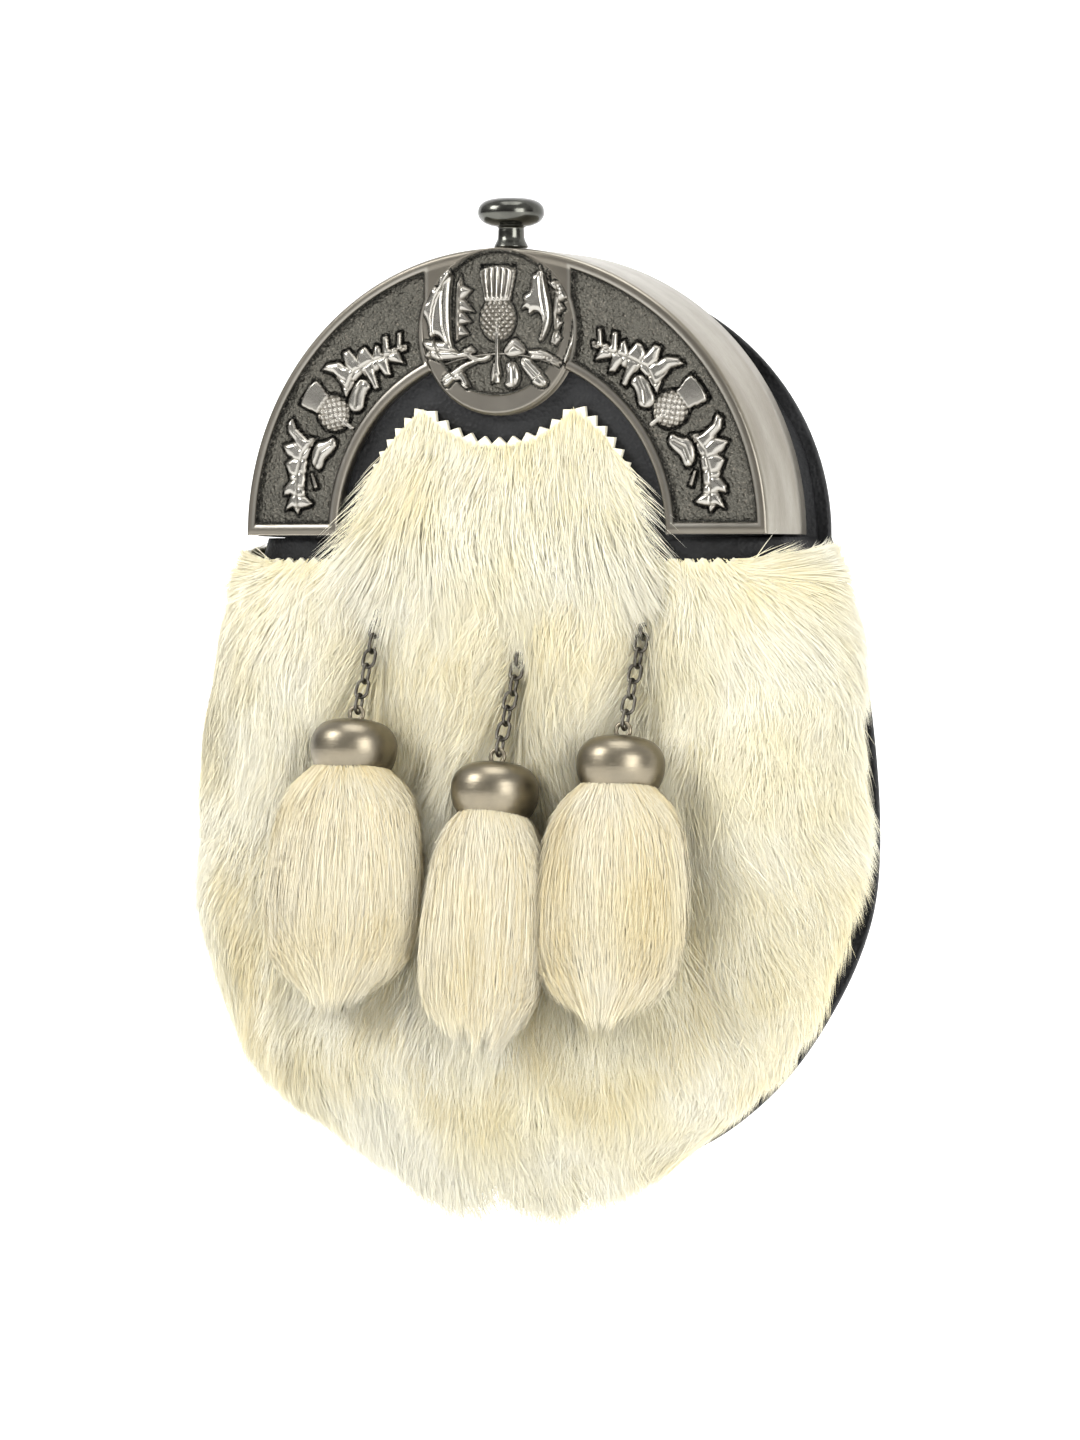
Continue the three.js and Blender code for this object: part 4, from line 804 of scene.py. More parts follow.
@dataclass
class Cantle:
    """The cast arch: face, rims, deep skirt, medallion and relief.

    Attributes:
        radius: the arch's outer radius.
        band: the face's breadth.
        rim: the breadth of the plain rim.
        foot_rim: the breadth of the rim along the feet.
        depth: how deep the ground lies below the rim.
        thickness: the face's thickness.
        skirt: the skirt's depth.
        wall: the skirt's thickness.
        bow: how far the feet stand back.
        rear: where the skirt's rear edge lies.
        disc: the medallion's radius.
        pocket: the radius of the medallion's ground.
        raise_by: how far that ground sits above the medallion's middle.
    """

    radius: float = ARCH_RADIUS
    band: float = 27.5
    rim: float = 2.9
    foot_rim: float = 3.1
    depth: float = 1.2
    thickness: float = 3.0
    skirt: float = 27.5
    wall: float = 1.8
    bow: float = BOW
    rear: float = -10.0
    disc: float = 21.5
    pocket: float = 18.4
    raise_by: float = 2.2

    @property
    def face(self) -> float:
        """Where the rim's front lies at the middle."""
        return self.rear - self.skirt - self.bow

    @property
    def disc_z(self) -> float:
        """The height of the medallion's middle."""
        return self.radius - self.disc

    def bowed(self, points: Array) -> Array:
        """Points moved back towards the feet, as the face is bowed.

        Args:
            points: points on the straight arch.

        Returns:
            The moved points.
        """
        share = np.clip((self.rear - points[..., 1]) / (self.rear - self.face), 0.0, 1.3)
        out = points.copy()
        out[..., 1] += share * self.bow * (points[..., 0] / self.radius) ** 2
        return out

    def limb_relief(self, x: Array, z: Array) -> Array:
        """The height of the two limbs' ornament over their ground, at places x across and z up."""
        across = np.abs(x)
        forms = (Thistle((47.5, 31.7), 36.0, (5.2, 4.8), (6.4, 4.0), 0, 2.0), *LIMB_LEAVES)
        return self.combined([form.relief(across, z) for form in forms])

    def disc_relief(self, x: Array, z: Array) -> Array:
        """The height of the medallion's ornament over its ground, at places x across and z up."""
        forms = (Thistle((-0.1, 55.3), 90.0, (5.9, 5.1), (9.6, 4.9), 6, 10.8), *DISC_LEAVES)
        return self.combined([form.relief(x, z) for form in forms])

    @staticmethod
    def combined(heights: Sequence[Array]) -> Array:
        """Reliefs laid over each other, with their grooves kept where nothing covers them."""
        top, low = np.maximum.reduce(heights), np.minimum.reduce(heights)
        return np.where(top > 0.02, top, low)

    def ground_noise(self, x: Array, z: Array) -> Array:
        """The hammered stipple of the ground, in millimetres."""
        spots = np.stack([x, z], -1)
        return 0.15 * SoftNoise(11, 0.95).at(spots) + 0.07 * SoftNoise(12, 0.6).at(spots)

    def limb_height(self, x: Array, z: Array) -> tuple[Array, Array]:
        """How far the limbs' face lies in front of the rim, and its tone, which holds a painted highlight
        along the rims.

        Args:
            x: places across.
            z: places up.

        Returns:
            Heights in millimetres and tones between 0 and 1.
        """
        r = np.hypot(x, z)
        inner = self.radius - self.band
        from_disc = np.hypot(x, z - self.disc_z) - (self.disc + 1.0)
        inside = np.minimum.reduce([
            r - inner - self.rim, self.radius - self.rim - r, z - self.foot_rim, from_disc, np.abs(x) - 20.8,
        ])
        sunk = smooth(0.0, 0.5, inside)
        across = np.minimum.reduce([r - inner, self.radius - r, z])
        roll = 0.3 * np.sin(np.pi * np.clip(across / self.rim, 0.0, 1.0)) * (1.0 - sunk)
        relief = self.limb_relief(x, z) * smooth(0.1, 0.6, inside)
        stipple = self.ground_noise(x, z) * sunk * (np.abs(relief) < 0.05)
        height = roll + sunk * (relief - self.depth) + stipple - 2.6 * smooth(-1.2, -2.0, from_disc)
        # painted highlight: a bright thin line in the rims' tone, just outside the groove round the sunk
        # ground
        rim_highlight = 0.3 * np.exp(-(((inside + 0.75) / 0.4) ** 2))
        tone = (1.0 - sunk) * (0.45 + rim_highlight) + sunk * self.relief_tone(relief)
        groove = np.exp(-((inside / 0.4) ** 2))
        return height, np.clip(tone - 0.4 * groove, 0.0, 1.0)

    @staticmethod
    def relief_tone(relief: Array) -> Array:
        """How bright the relief is rubbed: 0 in its grooves, 0.2 on the ground, 1 on its tops."""
        up = 0.16 + 0.84 * np.clip((relief - 0.2) / 1.05, 0.0, 1.0)
        return np.where(relief > 0.05, up, 0.2 + 0.2 * np.clip(relief / (0.5 * CHASED), -1.0, 0.0))

    def disc_height(self, x: Array, z: Array) -> tuple[Array, Array]:
        """How far the medallion's face lies in front of the rim, and its tone.

        Args:
            x: places across.
            z: places up.

        Returns:
            Heights in millimetres and tones between 0 and 1.
        """
        inside = self.pocket - np.hypot(x, z - self.disc_z - self.raise_by)
        sunk = smooth(0.0, 0.5, inside)
        edge = self.disc - np.hypot(x, z - self.disc_z)
        relief = self.disc_relief(x, z)
        over = smooth(0.0, 0.8, edge)
        lower = smooth(4.0, -5.0, z - self.disc_z)
        stipple = self.ground_noise(x, z) * sunk * (np.abs(relief) < 0.05)
        base = -self.depth * sunk - 0.9 * (1.0 - smooth(0.0, 0.9, edge)) * lower + 0.03 + 0.13 * lower
        height = base + stipple + relief * over
        plain = (1.0 - sunk) * (0.45 + 0.08 * lower) + sunk * 0.2
        tone = np.where(np.abs(relief) * over > 0.05, self.relief_tone(relief), plain)
        groove = np.exp(-((inside / 0.4) ** 2)) * (relief < 0.2)
        return height, np.clip(tone - 0.4 * groove, 0.0, 1.0)

    def build_arch(self, material: Material) -> None:
        """Sweeps the face, skirt and walls round the arch, with the limbs' relief.

        Args:
            material: the cast finish.
        """
        inner = self.radius - self.band
        out, rows = self.radius, 80
        profile: list[Triple] = [
            (inner, self.face + self.thickness, 0.0), (inner, self.face + 1.2, 0.0),
            (inner + 0.12, self.face + 0.6, 0.0), (inner + 0.35, self.face + 0.25, 0.0),
        ]
        profile += [(inner + 0.6 + (self.band - 1.2) * k / rows, self.face, 1.0) for k in range(rows + 1)]
        profile += [(out - 0.3, self.face + 0.2, 0.0), (out - 0.08, self.face + 0.6, 0.0)]
        profile += [(out, self.face + 1.3 + (self.skirt + self.bow - 2.0) * k / 5, 0.0) for k in range(6)]
        profile += [
            (out - 0.5, self.rear, 0.0), (out - self.wall + 0.3, self.rear, 0.0),
            (out - self.wall, self.rear - 0.6, 0.0), (out - self.wall, self.face + self.thickness, 0.0),
        ]
        table = np.array(profile)
        (r, depth, carved), a = table.T[:, :, None], np.linspace(0.0, math.pi, 540)[None, :]
        x, z = r * np.cos(a), r * np.sin(a)
        height, tone = self.limb_height(x, z)
        points = self.bowed(joined(x, depth - height * carved, z))
        size = points.shape[:2]
        brush = np.broadcast_to((r >= out - 0.31) & (carved == 0.0), size).astype(float)
        tone = np.where(carved > 0, tone, 0.6)
        index = np.arange(size[0] * size[1]).reshape(size)
        closing = np.stack([index[-1, :-1], index[-1, 1:], index[0, 1:], index[0, :-1]], 1)
        ends = [index[::-1, 0][None, :], index[:, -1][None, :]]
        make_piece(
            "cantle_arch", points.reshape(-1, 3), [grid_faces(*size), closing, *ends], material,
            ["cantle"], {"tone": tone, "brush": brush, "turn": np.broadcast_to(a, size)},
        )

    def build_medallion(self, material: Material) -> None:
        """Builds the round medallion at the middle of the arch.

        Args:
            material: the cast finish.
        """
        rings, columns = 90, 300
        r = np.linspace(0.02, self.disc, rings)[:, None]
        a = turns(columns)[None, :]
        x, z = r * np.cos(a), self.disc_z + r * np.sin(a)
        height, tone = self.disc_height(x, z)
        front = joined(x, self.face - height, z)
        wall = joined(x[-1], self.face + self.thickness, z[-1])[None]
        points = self.bowed(np.concatenate([front, wall]))
        tones = np.concatenate([tone, np.full((1, columns), 0.5)])
        size = (rings + 1, columns)
        cap, back = np.arange(columns)[None, :], np.arange(columns)[None, :] + rings * columns
        faces = [grid_faces(*size, wrap=True)[:, ::-1], back, cap]
        values = {"tone": tones, "brush": np.zeros(size), "turn": np.zeros(size)}
        points = points.reshape(-1, 3)
        make_piece("cantle_medallion", points, faces, material, ["cantle"], values)


def lathe(
    name: str, profile: Sequence[Pair], sides: int, place: Callable[[Array], Array], material: Material,
    stands_for: Sequence[str],
) -> None:
    """Turns a profile round the z axis into a closed metal piece.

    Args:
        name: the piece's name.
        profile: radius and height pairs from one end to the other.
        sides: how many sides the turned form has.
        place: moves points from the lathe's axis to where they belong.
        material: its finish.
        stands_for: the solids that it replaces.
    """
    a, (r, h) = turns(sides)[None, :], np.array(profile).T[:, :, None]
    points = joined(r * np.cos(a), r * np.sin(a), h).reshape(-1, 3)
    last = (len(profile) - 1) * sides
    ends = [np.arange(sides)[::-1][None, :], (last + np.arange(sides))[None, :]]
    faces = [grid_faces(len(profile), sides, wrap=True), *ends]
    make_piece(name, place(points), faces, material, stands_for)


def cut_plate(
    name: str, outline: Array, low: float, high: float, material: Material,
    stands_for: Sequence[str], holes: Sequence[Array] = (), edge: float = 0.55,
) -> Piece:
    """Cuts a flat piece of leather or hide with rounded edges.

    Args:
        name: the piece's name.
        outline: its outline as x and z.
        low: where its front face lies.
        high: where its rear face lies.
        material: its finish.
        stands_for: the solids that it replaces.
        holes: outlines cut out of it.
        edge: how far the edges are rounded.

    Returns:
        The piece.
    """
    curve = bpy.data.curves.new(name, "CURVE")
    curve.dimensions, curve.fill_mode = "2D", "BOTH"
    curve.extrude = ((high - low) / 2 - edge) * MM
    curve.bevel_depth, curve.bevel_resolution, curve.offset = edge * MM, 3, -edge * MM
    for line in (outline, *holes):
        spline = curve.splines.new("POLY")
        spline.points.add(len(line) - 1)
        flat = np.zeros((len(line), 4), np.float32)
        flat[:, 0], flat[:, 1], flat[:, 3] = line[:, 0] * MM, (line[:, 1] - FOOT_TO_LOOPS) * MM, 1.0
        spline.points.foreach_set("co", flat.ravel())
        spline.use_cyclic_u = True
    shape = show(name + "_outline", curve)
    bpy.context.view_layer.update()
    mesh = bpy.data.meshes.new_from_object(shape)
    bpy.data.objects.remove(shape)
    flat = read_points(mesh)
    turned = joined(flat[:, 0], -flat[:, 2] + (low + high) / 2 * MM, flat[:, 1])
    mesh.vertices.foreach_set("co", turned.astype(np.float32).ravel())
    mesh.materials.clear()
    mesh.materials.append(material)
    mesh.name = name
    return enrol(name, mesh, stands_for)


def bow_back(piece: Piece) -> None:
    """Bows a flat piece back towards its sides, as the arch is bowed.

    Args:
        piece: the piece.
    """
    flat = read_points(piece.data)
    flat[:, 1] += BOW * MM * (flat[:, 0] / (ARCH_RADIUS * MM)) ** 2
    piece.data.vertices.foreach_set("co", flat.ravel())


def rounded(profile: Sequence[Pair], steps: int = 6) -> list[Pair]:
    """A smooth line through the points of a profile.

    Args:
        profile: radius and height pairs.
        steps: how many pieces each stretch is cut into.

    Returns:
        The finer profile.
    """
    p = np.array(profile, float)
    padded = np.vstack([2 * p[0] - p[1], p, 2 * p[-1] - p[-2]])
    fine = []
    for i in range(len(p) - 1):
        a, b, c, d = padded[i:i + 4]
        for t in np.linspace(0.0, 1.0, steps, endpoint=False):
            square, cube = (2 * a - 5 * b + 4 * c - d) * t * t, (3 * b - a - 3 * c + d) * t ** 3
            fine.append(0.5 * (2 * b + (c - a) * t + square + cube))
    fine.append(p[-1])
    return [(max(float(q[0]), 0.01), float(q[1])) for q in fine]


@dataclass
class Knob:
    """The finger knob on top of the arch.

    Attributes:
        head: the head's radius and height.
        stalk: the stalk's radius and height.
        flange: the foot's radius.
        setback: how far it stands behind the face.
        pin: the radius and length of its pin.
    """

    head: Pair = (8.6, 7.5)
    stalk: Pair = (3.4, 5.4)
    flange: float = 4.4
    setback: float = 9.0
    pin: Pair = (2.0, 5.0)

    def build(self, cantle: Cantle, material: Material) -> None:
        """Turns the knob on the arch's crown.

        Args:
            cantle: the arch that it stands on.
            material: its finish.
        """
        foot = cantle.radius + 0.3
        neck = foot + self.stalk[1]
        radius, tall = self.head
        top = [
            (0.62, 0.05), (0.84, 0.16), (0.97, 0.34), (1.0, 0.52), (0.95, 0.72), (0.8, 0.88), (0.55, 0.97),
            (0.25, 1.0), (0.01, 1.0),
        ]
        stalk, (pin, down) = self.stalk[0], self.pin
        profile = [(self.flange - 0.3, foot), (self.flange, foot + 0.35), (self.flange - 0.25, foot + 1.0)]
        profile += [(stalk + 0.12, foot + 2.4), (stalk, neck - 1.2), (stalk + 0.1, neck - 0.1)]
        profile += [(radius * a, neck + tall * b) for a, b in top]
        under = [(0.02, foot - down), (pin, foot - down), (pin, foot)]
        shift = np.array([0.0, cantle.face + self.setback, 0.0])
        lathe("knob", under + rounded(profile, 5), 56, lambda p: p + shift, material, ["cantle_knob"])


# the fur

@dataclass
class Hairs:
    """A set of hairs that is still numbers.

    Attributes:
        roots: where each hair starts.
        out: the way off the hide at each root.
        flow: the way each hair lies.
        length: each hair's length.
        lift: how far its tip stands off the hide.
        pull: how far its tip is drawn aside.
        width: its width at the root.
        tint: its own shade between 0 and 1, pushed below 0 on the coat by yellowed patches and by painted
            warm shade round the tassels.
        lie: the way that the coat's surface faces round each hair.
        bends: in how many places a hair bends.
    """

    roots: Array
    out: Array
    flow: Array
    length: Array
    lift: Array
    pull: Array
    width: Array
    tint: Array
    lie: Array
    bends: int = 1

    NUMBERS = ("roots", "out", "flow", "length", "lift", "pull", "width", "tint", "lie")

    def __len__(self) -> int:
        """How many hairs there are."""
        return len(self.roots)

    def part(self, pick: Array) -> "Hairs":
        """The hairs that pick names."""
        return Hairs(*[getattr(self, key)[pick] for key in self.NUMBERS], bends=self.bends)

    def stations(self) -> tuple[Array, Array]:
        """Where a hair's ribbon has points along its length, and how wide it is there."""
        if self.bends == 1:
            return np.array([0.0, 0.52, 1.0]), np.array([1.0, 0.9])
        return np.array([0.0, 0.36, 0.7, 1.0]), np.array([1.0, 1.0, 0.7])

    def shape(self, seed: int) -> tuple[Array, Array]:
        """Turns the hairs into thin tapering ribbons.

        Args:
            seed: picks how each ribbon is twisted.

        Returns:
            The ribbons' points and their triangles.
        """
        rng = np.random.default_rng(seed)
        run, taper = self.stations()
        n, pairs, s = len(self), len(taper), run[None, :, None]
        line = self.roots[:, None] + self.flow[:, None] * self.length[:, None, None] * s
        line = line + self.out[:, None] * self.lift[:, None, None] * (1.0 - (1.0 - s) ** 2.0)
        line = line + self.pull[:, None] * s ** 1.6
        tangent = unit(np.gradient(line, axis=1))
        flat = unit(np.cross(tangent, self.out[:, None]))
        twist = rng.uniform(-0.7, 0.7, n)[:, None, None]
        side = flat * np.cos(twist) + np.cross(tangent, flat) * np.sin(twist)
        half = 0.5 * self.width[:, None, None] * taper[None, :, None]
        left, right = line[:, :-1] - side[:, :-1] * half, line[:, :-1] + side[:, :-1] * half
        each = 2 * pairs + 1
        points = np.concatenate([np.stack([left, right], 2).reshape(n, 2 * pairs, 3), line[:, -1:]], 1)
        corners = [c for k in range(0, 2 * pairs - 2, 2) for c in ([k, k + 1, k + 3], [k, k + 3, k + 2])]
        corners.append([each - 3, each - 2, each - 1])
        faces = (np.arange(n)[:, None, None] * each + np.array(corners)[None]).reshape(-1, 3)
        return points.reshape(-1, 3), faces

    def chart(self) -> Array:
        """A square of its own for each hair, so that its colours can be kept in a picture."""
        n, run = len(self), self.stations()[0]
        side = math.ceil(math.sqrt(n))
        cell = np.arange(n)
        up = np.repeat(0.08 + 0.84 * run, 2)[:-1]
        across = np.tile([0.15, 0.85], len(run))[:-1]
        across[-1] = 0.5
        u, v = cell[:, None] % side + across[None], cell[:, None] // side + up[None]
        return np.stack([u.ravel(), v.ravel()], 1) / side

    def build(self, name: str, material: Material, stands_for: str, seed: int) -> None:
        """Makes one piece of these hairs.

        Args:
            name: the piece's name.
            material: the hair's finish.
            stands_for: the solid that it replaces.
            seed: picks how the ribbons are twisted.
        """
        points, faces = self.shape(seed)
        run = self.stations()[0]
        along = np.tile(np.repeat(run, 2)[:-1], len(self))
        each = 2 * len(run) - 1
        tint, lie = np.repeat(self.tint, each), np.repeat(self.lie, each, axis=0)
        values = {"along": along, "tint": tint, "lie": lie}
        make_piece(name, points, [faces], material, [stands_for], values, self.chart())


def gathered(tips: Array, spots: Array, size: float, seed: int) -> Array:
    """How far each tip lies from the tuft that it belongs to.

    Args:
        tips: where the tips are before they gather.
        spots: two numbers for each hair that say where it stands on the hide.
        size: how far apart the tufts are.
        seed: shifts the tufts about.

    Returns:
        For each hair, the way from its tip to the middle of its tuft's tips.
    """
    wobble = np.stack([SoftNoise(seed, size * 1.7).at(spots), SoftNoise(seed + 1, size * 1.7).at(spots)], 1)
    moved = spots + 0.9 * size * wobble
    cell = np.floor(moved / size).astype(np.int64)
    stride = 100003
    _, which = np.unique(cell[:, 0] * stride + cell[:, 1], return_inverse=True)
    count = np.bincount(which).astype(float)
    middle = np.stack([np.bincount(which, tips[:, k]) / count for k in range(3)], 1)
    return middle[which] - tips


@dataclass(frozen=True)
class PouchRow:
    """One section of the leather pouch, as shares of its drop, half width and depth."""

    down: float
    half: float
    depth: float
    square: float


@dataclass
class Pouch:
    """The form of the leather pouch that the pelt covers.

    Attributes:
        half_width: its widest half width.
        drop: how far it hangs below the cantle's foot.
        depth: its greatest depth.
        leather: the leather's thickness.
        rows: its sections from the top down.
    """

    half_width: float = 87.0
    drop: float = 167.0
    depth: float = 50.0
    leather: float = 2.0
    rows: tuple[PouchRow, ...] = (
        PouchRow(0.004, 0.845, 0.744, 8.0), PouchRow(0.06, 0.885, 0.748, 6.5),
        PouchRow(0.21, 0.955, 0.81, 4.6), PouchRow(0.44, 1.0, 0.93, 3.6), PouchRow(0.57, 0.985, 0.98, 3.4),
        PouchRow(0.66, 0.93, 1.0, 3.2), PouchRow(0.74, 0.85, 1.0, 3.0), PouchRow(0.82, 0.745, 0.96, 2.9),
        PouchRow(0.89, 0.615, 0.88, 2.8), PouchRow(0.95, 0.45, 0.78, 2.7), PouchRow(0.985, 0.27, 0.68, 2.6),
        PouchRow(1.0, 0.075, 0.58, 2.5),
    )

    def __post_init__(self) -> None:
        """Keeps a fine table of the sections."""
        shares = np.linspace(0.0, 1.0, TABLE_ROWS)
        rows = np.array([
            (row.half * self.half_width, row.depth * self.depth, -row.down * self.drop) for row in self.rows
        ])
        ends = np.vstack([2 * rows[0] - rows[1], rows, 2 * rows[-1] - rows[-2]])
        place = shares * (len(rows) - 1)
        low = np.minimum(place.astype(int), len(rows) - 2)
        t = (place - low)[:, None]
        p0, p1, p2, p3 = (ends[low + k] for k in range(4))
        steps = ((p0, p1), (p1, p2), (p2, p3))
        d0, d1, d2 = (np.linalg.norm(b - a, axis=1, keepdims=True) ** 0.5 for a, b in steps)
        t1 = ((p1 - p0) / d0 - (p2 - p0) / (d0 + d1) + (p2 - p1) / d1) * d1
        t2 = ((p2 - p1) / d1 - (p3 - p1) / (d1 + d2) + (p3 - p2) / d2) * d1
        fine = p1 + t1 * t + (-3 * p1 + 3 * p2 - 2 * t1 - t2) * t ** 2 + (2 * p1 - 2 * p2 + t1 + t2) * t ** 3
        square = np.array([r.square for r in self.rows])
        between = square[low] + (square[low + 1] - square[low]) * t[:, 0]
        self.heights = fine[::-1, 2]
        self.table = np.column_stack([fine[:, 0], fine[:, 1], between])[::-1]

    def point(self, z: Array, turn: Array) -> Array:
        """Points on the leather.

        Args:
            z: heights.
            turn: places round the pouch, -1 and 1 at its back edges and 0 at the front.

        Returns:
            The points.
        """
        half, depth, square = (np.interp(z, self.heights, self.table[:, k]) for k in range(3))
        angle = turn * math.pi / 2
        reach = (np.abs(np.sin(angle)) ** square + np.abs(np.cos(angle)) ** square) ** (-1.0 / square)
        back = -self.leather - 0.3
        x = half * reach * np.sin(angle)
        y = back - (depth + back - set_back(x)) * reach * np.cos(angle)
        return joined(x, y, z)

    def evenly(self, count: int) -> Array:
        """Heights at even shares of the pouch's form, from the top down."""
        return np.interp(np.linspace(0, 1, count), np.linspace(0, 1, TABLE_ROWS), self.heights[::-1])

    def normal(self, z: Array, turn: Array) -> Array:
        """The way off the leather at places on it."""
        low, high = np.clip(z - 0.8, -166.5, -0.8), np.clip(z + 0.8, -166.0, -0.7)
        down = self.point(low, turn) - self.point(high, turn)
        right, left = np.minimum(turn + 0.01, 0.995), np.maximum(turn - 0.01, -0.995)
        return unit(np.cross(down, self.point(z, right) - self.point(z, left)))


@dataclass(frozen=True)
class Hang:
    """Where one tassel's chain, cup and hair hang.

    Attributes:
        side: which tassel it is.
        eye: the middle of the eye on the pelt.
        lean: how far the chain leans off the fur, in degrees.
        cup: the middle of the cup's own eye.
        width: its hair's width, as a share of the widest tassel's.
        length: its hair's length, as a share of the shared length.
        strays: the share of its locks' lengths from left to right.
    """

    side: Side
    eye: Triple
    lean: float
    cup: Triple
    width: float
    length: float
    strays: tuple[float, ...]


@dataclass
class Pelt:
    """The fur pelt on the pouch: a puffed undercoat with a pinked top edge, and its coat of hair.

    Attributes:
        pouch: the leather that it covers.
        hangs: the tassels over it, whose chains lie in partings.
        hide: the hide's thickness.
        margin: how far its top edge lies below the cantle's foot.
        drop: how far its hide reaches.
        tooth: the pitch and depth of the pinked edge.
        hollow: the radius of the arch's hollow, less the margin.
        disc: the medallion's radius with the margin, and its height.
        fluff: the greatest thickness of the coat.
        count: how many hairs the coat has.
        pieces: how many pieces the coat is split into.
    """

    pouch: Pouch
    hangs: Sequence[Hang]
    hide: float = 2.0
    margin: float = 5.5
    drop: float = 160.0
    tooth: Pair = (3.9, 2.0)
    hollow: float = 40.5
    disc: Pair = (27.0, 52.0)
    fluff: float = 8.5
    count: int = 140000
    pieces: int = 3

    def side_turn(self, z: Array) -> Array:
        """How far round the pouch the pelt reaches at a height."""
        share = np.clip((-z - self.margin) / (self.drop - self.margin), 0.0, 1.0)
        return 0.94 - 0.16 * np.minimum(2.0 * share, 1.0)

    def tongue_outline(self) -> Array:
        """The pinked outline of the tongue in the arch's hollow.

        Returns:
            The outline as x and z, from its lower right to its lower left.
        """
        big, (small, middle) = self.hollow, self.disc
        cross = (big ** 2 - small ** 2 + middle ** 2) / (2 * middle)
        big_turn, small_turn = math.asin(cross / big), math.asin((cross - middle) / small)
        arcs = (
            (big, -0.1, big_turn, 0.0, -1.0), (small, small_turn, -math.pi - small_turn, middle, 1.0),
            (big, math.pi - big_turn, math.pi + 0.1, 0.0, -1.0),
        )
        walk: list[Pair] = []
        for radius, start, end, centre, inward in arcs:
            teeth = max(2, 2 * round(abs(end - start) * radius / self.tooth[0]))
            for i, angle in enumerate(np.linspace(start, end, teeth + 1)[:-1]):
                r = radius + (inward * self.tooth[1] if i % 2 else 0.0)
                walk.append((math.cos(angle) * r, centre + math.sin(angle) * r))
        line = np.array(walk)
        from_disc = np.hypot(line[:, 0], line[:, 1] - middle) - small
        return line[np.maximum(big - np.hypot(*line.T), from_disc) > 2.0]

    def room(self, x: Array, z: Array) -> Array:
        """How far places lie inside the tongue's toothless outline."""
        under = np.hypot(x, z - self.disc[1]) - self.disc[0] - self.tooth[1]
        above = np.minimum(self.hollow - self.tooth[1] - np.hypot(x, z), under)
        return np.where(z > 0, above, self.hollow - np.abs(x))

    def height(self, x: Array, z: Array) -> Array:
        """How thick the coat stands over a place.

        Args:
            x: places across.
            z: places up.

        Returns:
            The coat's thickness in millimetres.
        """
        down = -z
        base = 0.62 + 0.16 * smooth(10.0, 60.0, down)
        base += 0.42 * smooth(104.0, 120.0, down) * smooth(150.0, 126.0, down) * smooth(88.0, 40.0, np.abs(x))
        base *= 1.0 - 0.45 * smooth(138.0, 166.0, down)
        base *= 0.55 + 0.45 * smooth(4.0, 12.0, down)
        spots = np.stack([x, z * 0.55], -1)
        lumps = 0.22 * SoftNoise(5, 19.0).at(spots) + 0.14 * SoftNoise(6, 8.0).at(spots)
        base = base * (1.0 + lumps)
        for hang in self.hangs:
            low, high = hang.cup[2] - 8.0, hang.eye[2] + 9.0
            beside, fade = x - hang.eye[0], smooth(high + 8.0, high, z)
            over = np.exp(-((beside / 4.2) ** 2)) * smooth(low - 4.0, low + 4.0, z) * fade
            swell = np.exp(-(((np.abs(beside) - 10.0) / 5.0) ** 2)) * smooth(low, low + 8.0, z) * fade
            base = base * (1.0 - 0.7 * over) + 0.28 * swell
            wide = 17.0 * hang.width
            pressed = smooth(wide + 5.0, wide - 5.0, np.abs(x - hang.cup[0]))
            pressed = pressed * smooth(-118.0, -104.0, z) * smooth(hang.cup[2] - 2.0, hang.cup[2] - 14.0, z)
            base = base * (1.0 - 0.72 * pressed)
        return base * self.fluff

    def coat(self, x: Array, z: Array, turn: Array) -> Array:
        """The coat's thickness, thinning towards the sides, at places with a turn round the pouch."""
        edge = 1.0 - np.abs(turn) / self.side_turn(z)
        return self.height(x, z) * (0.25 + 0.75 * smooth(0.0, 0.24, edge))

    def tongue_coat(self, x: Array, z: Array) -> Array:
        """The coat's thickness on the tongue."""
        lumps = 1.0 + 0.25 * SoftNoise(7, 11.0).at(np.stack([x, z * 0.6], -1))
        return (0.5 + 4.6 * smooth(0.0, 22.0, self.room(x, z))) * lumps

    def yellowing_and_shade(self, x: Array, z: Array) -> Array:
        """How yellowed the coat is in random patches, plus painted warm shade in a ring round where each
        tassel hangs.
        """
        total = 0.5 * smooth(0.15, 0.6, SoftNoise(28, 22.0).at(np.stack([x, z * 0.5], -1)))
        for hang in self.hangs:
            # painted shade: a warm ring round each tassel's place on the coat, strongest on its lower part
            across = (x - hang.cup[0] + 8.0) / (21.0 * hang.width)
            up = (z - hang.cup[2] + 46.0) / 32.0
            ring = np.exp(-(((np.hypot(across, up) - 1.1) / 0.17) ** 2))
            total = total + 0.9 * ring * smooth(0.6, -0.5, up)
        return np.minimum(total, 1.1)

    @staticmethod
    def shaded(out: Array, across: Array, down: Array, coat: Callable[[float, float], Array]) -> Array:
        """The way that the coat's surface faces.

        Args:
            out: the way off the hide.
            across: the way across it, towards +x.
            down: the way down it.
            coat: the coat's thickness a way to the right and above.

        Returns:
            Unit vectors.
        """
        step = 1.5
        right = (coat(step, 0.0) - coat(-step, 0.0)) / (2 * step)
        below = (coat(0.0, -step) - coat(0.0, step)) / (2 * step)
        return unit(out - across * right[:, None] - down * below[:, None])

    def build_undercoat(self, material: Material) -> None:
        """Makes the closed skin that the hair grows from, with its pinked top edge.

        Args:
            material: its finish, darkened as painted shade of the coat's depth.
        """
        rows, columns, rear_rows = 84, 300, 10
        t = np.linspace(-1.0, 1.0, columns)[None, :]
        x_top = self.pouch.point(np.full(t.shape, -self.margin), t * 0.94)[..., 0]
        around_top = np.cumsum(np.abs(np.diff(x_top, prepend=x_top[:, :1])))
        saw = np.abs((around_top / self.tooth[0]) % 1.0 - 0.5) * 2.0 * self.tooth[1]

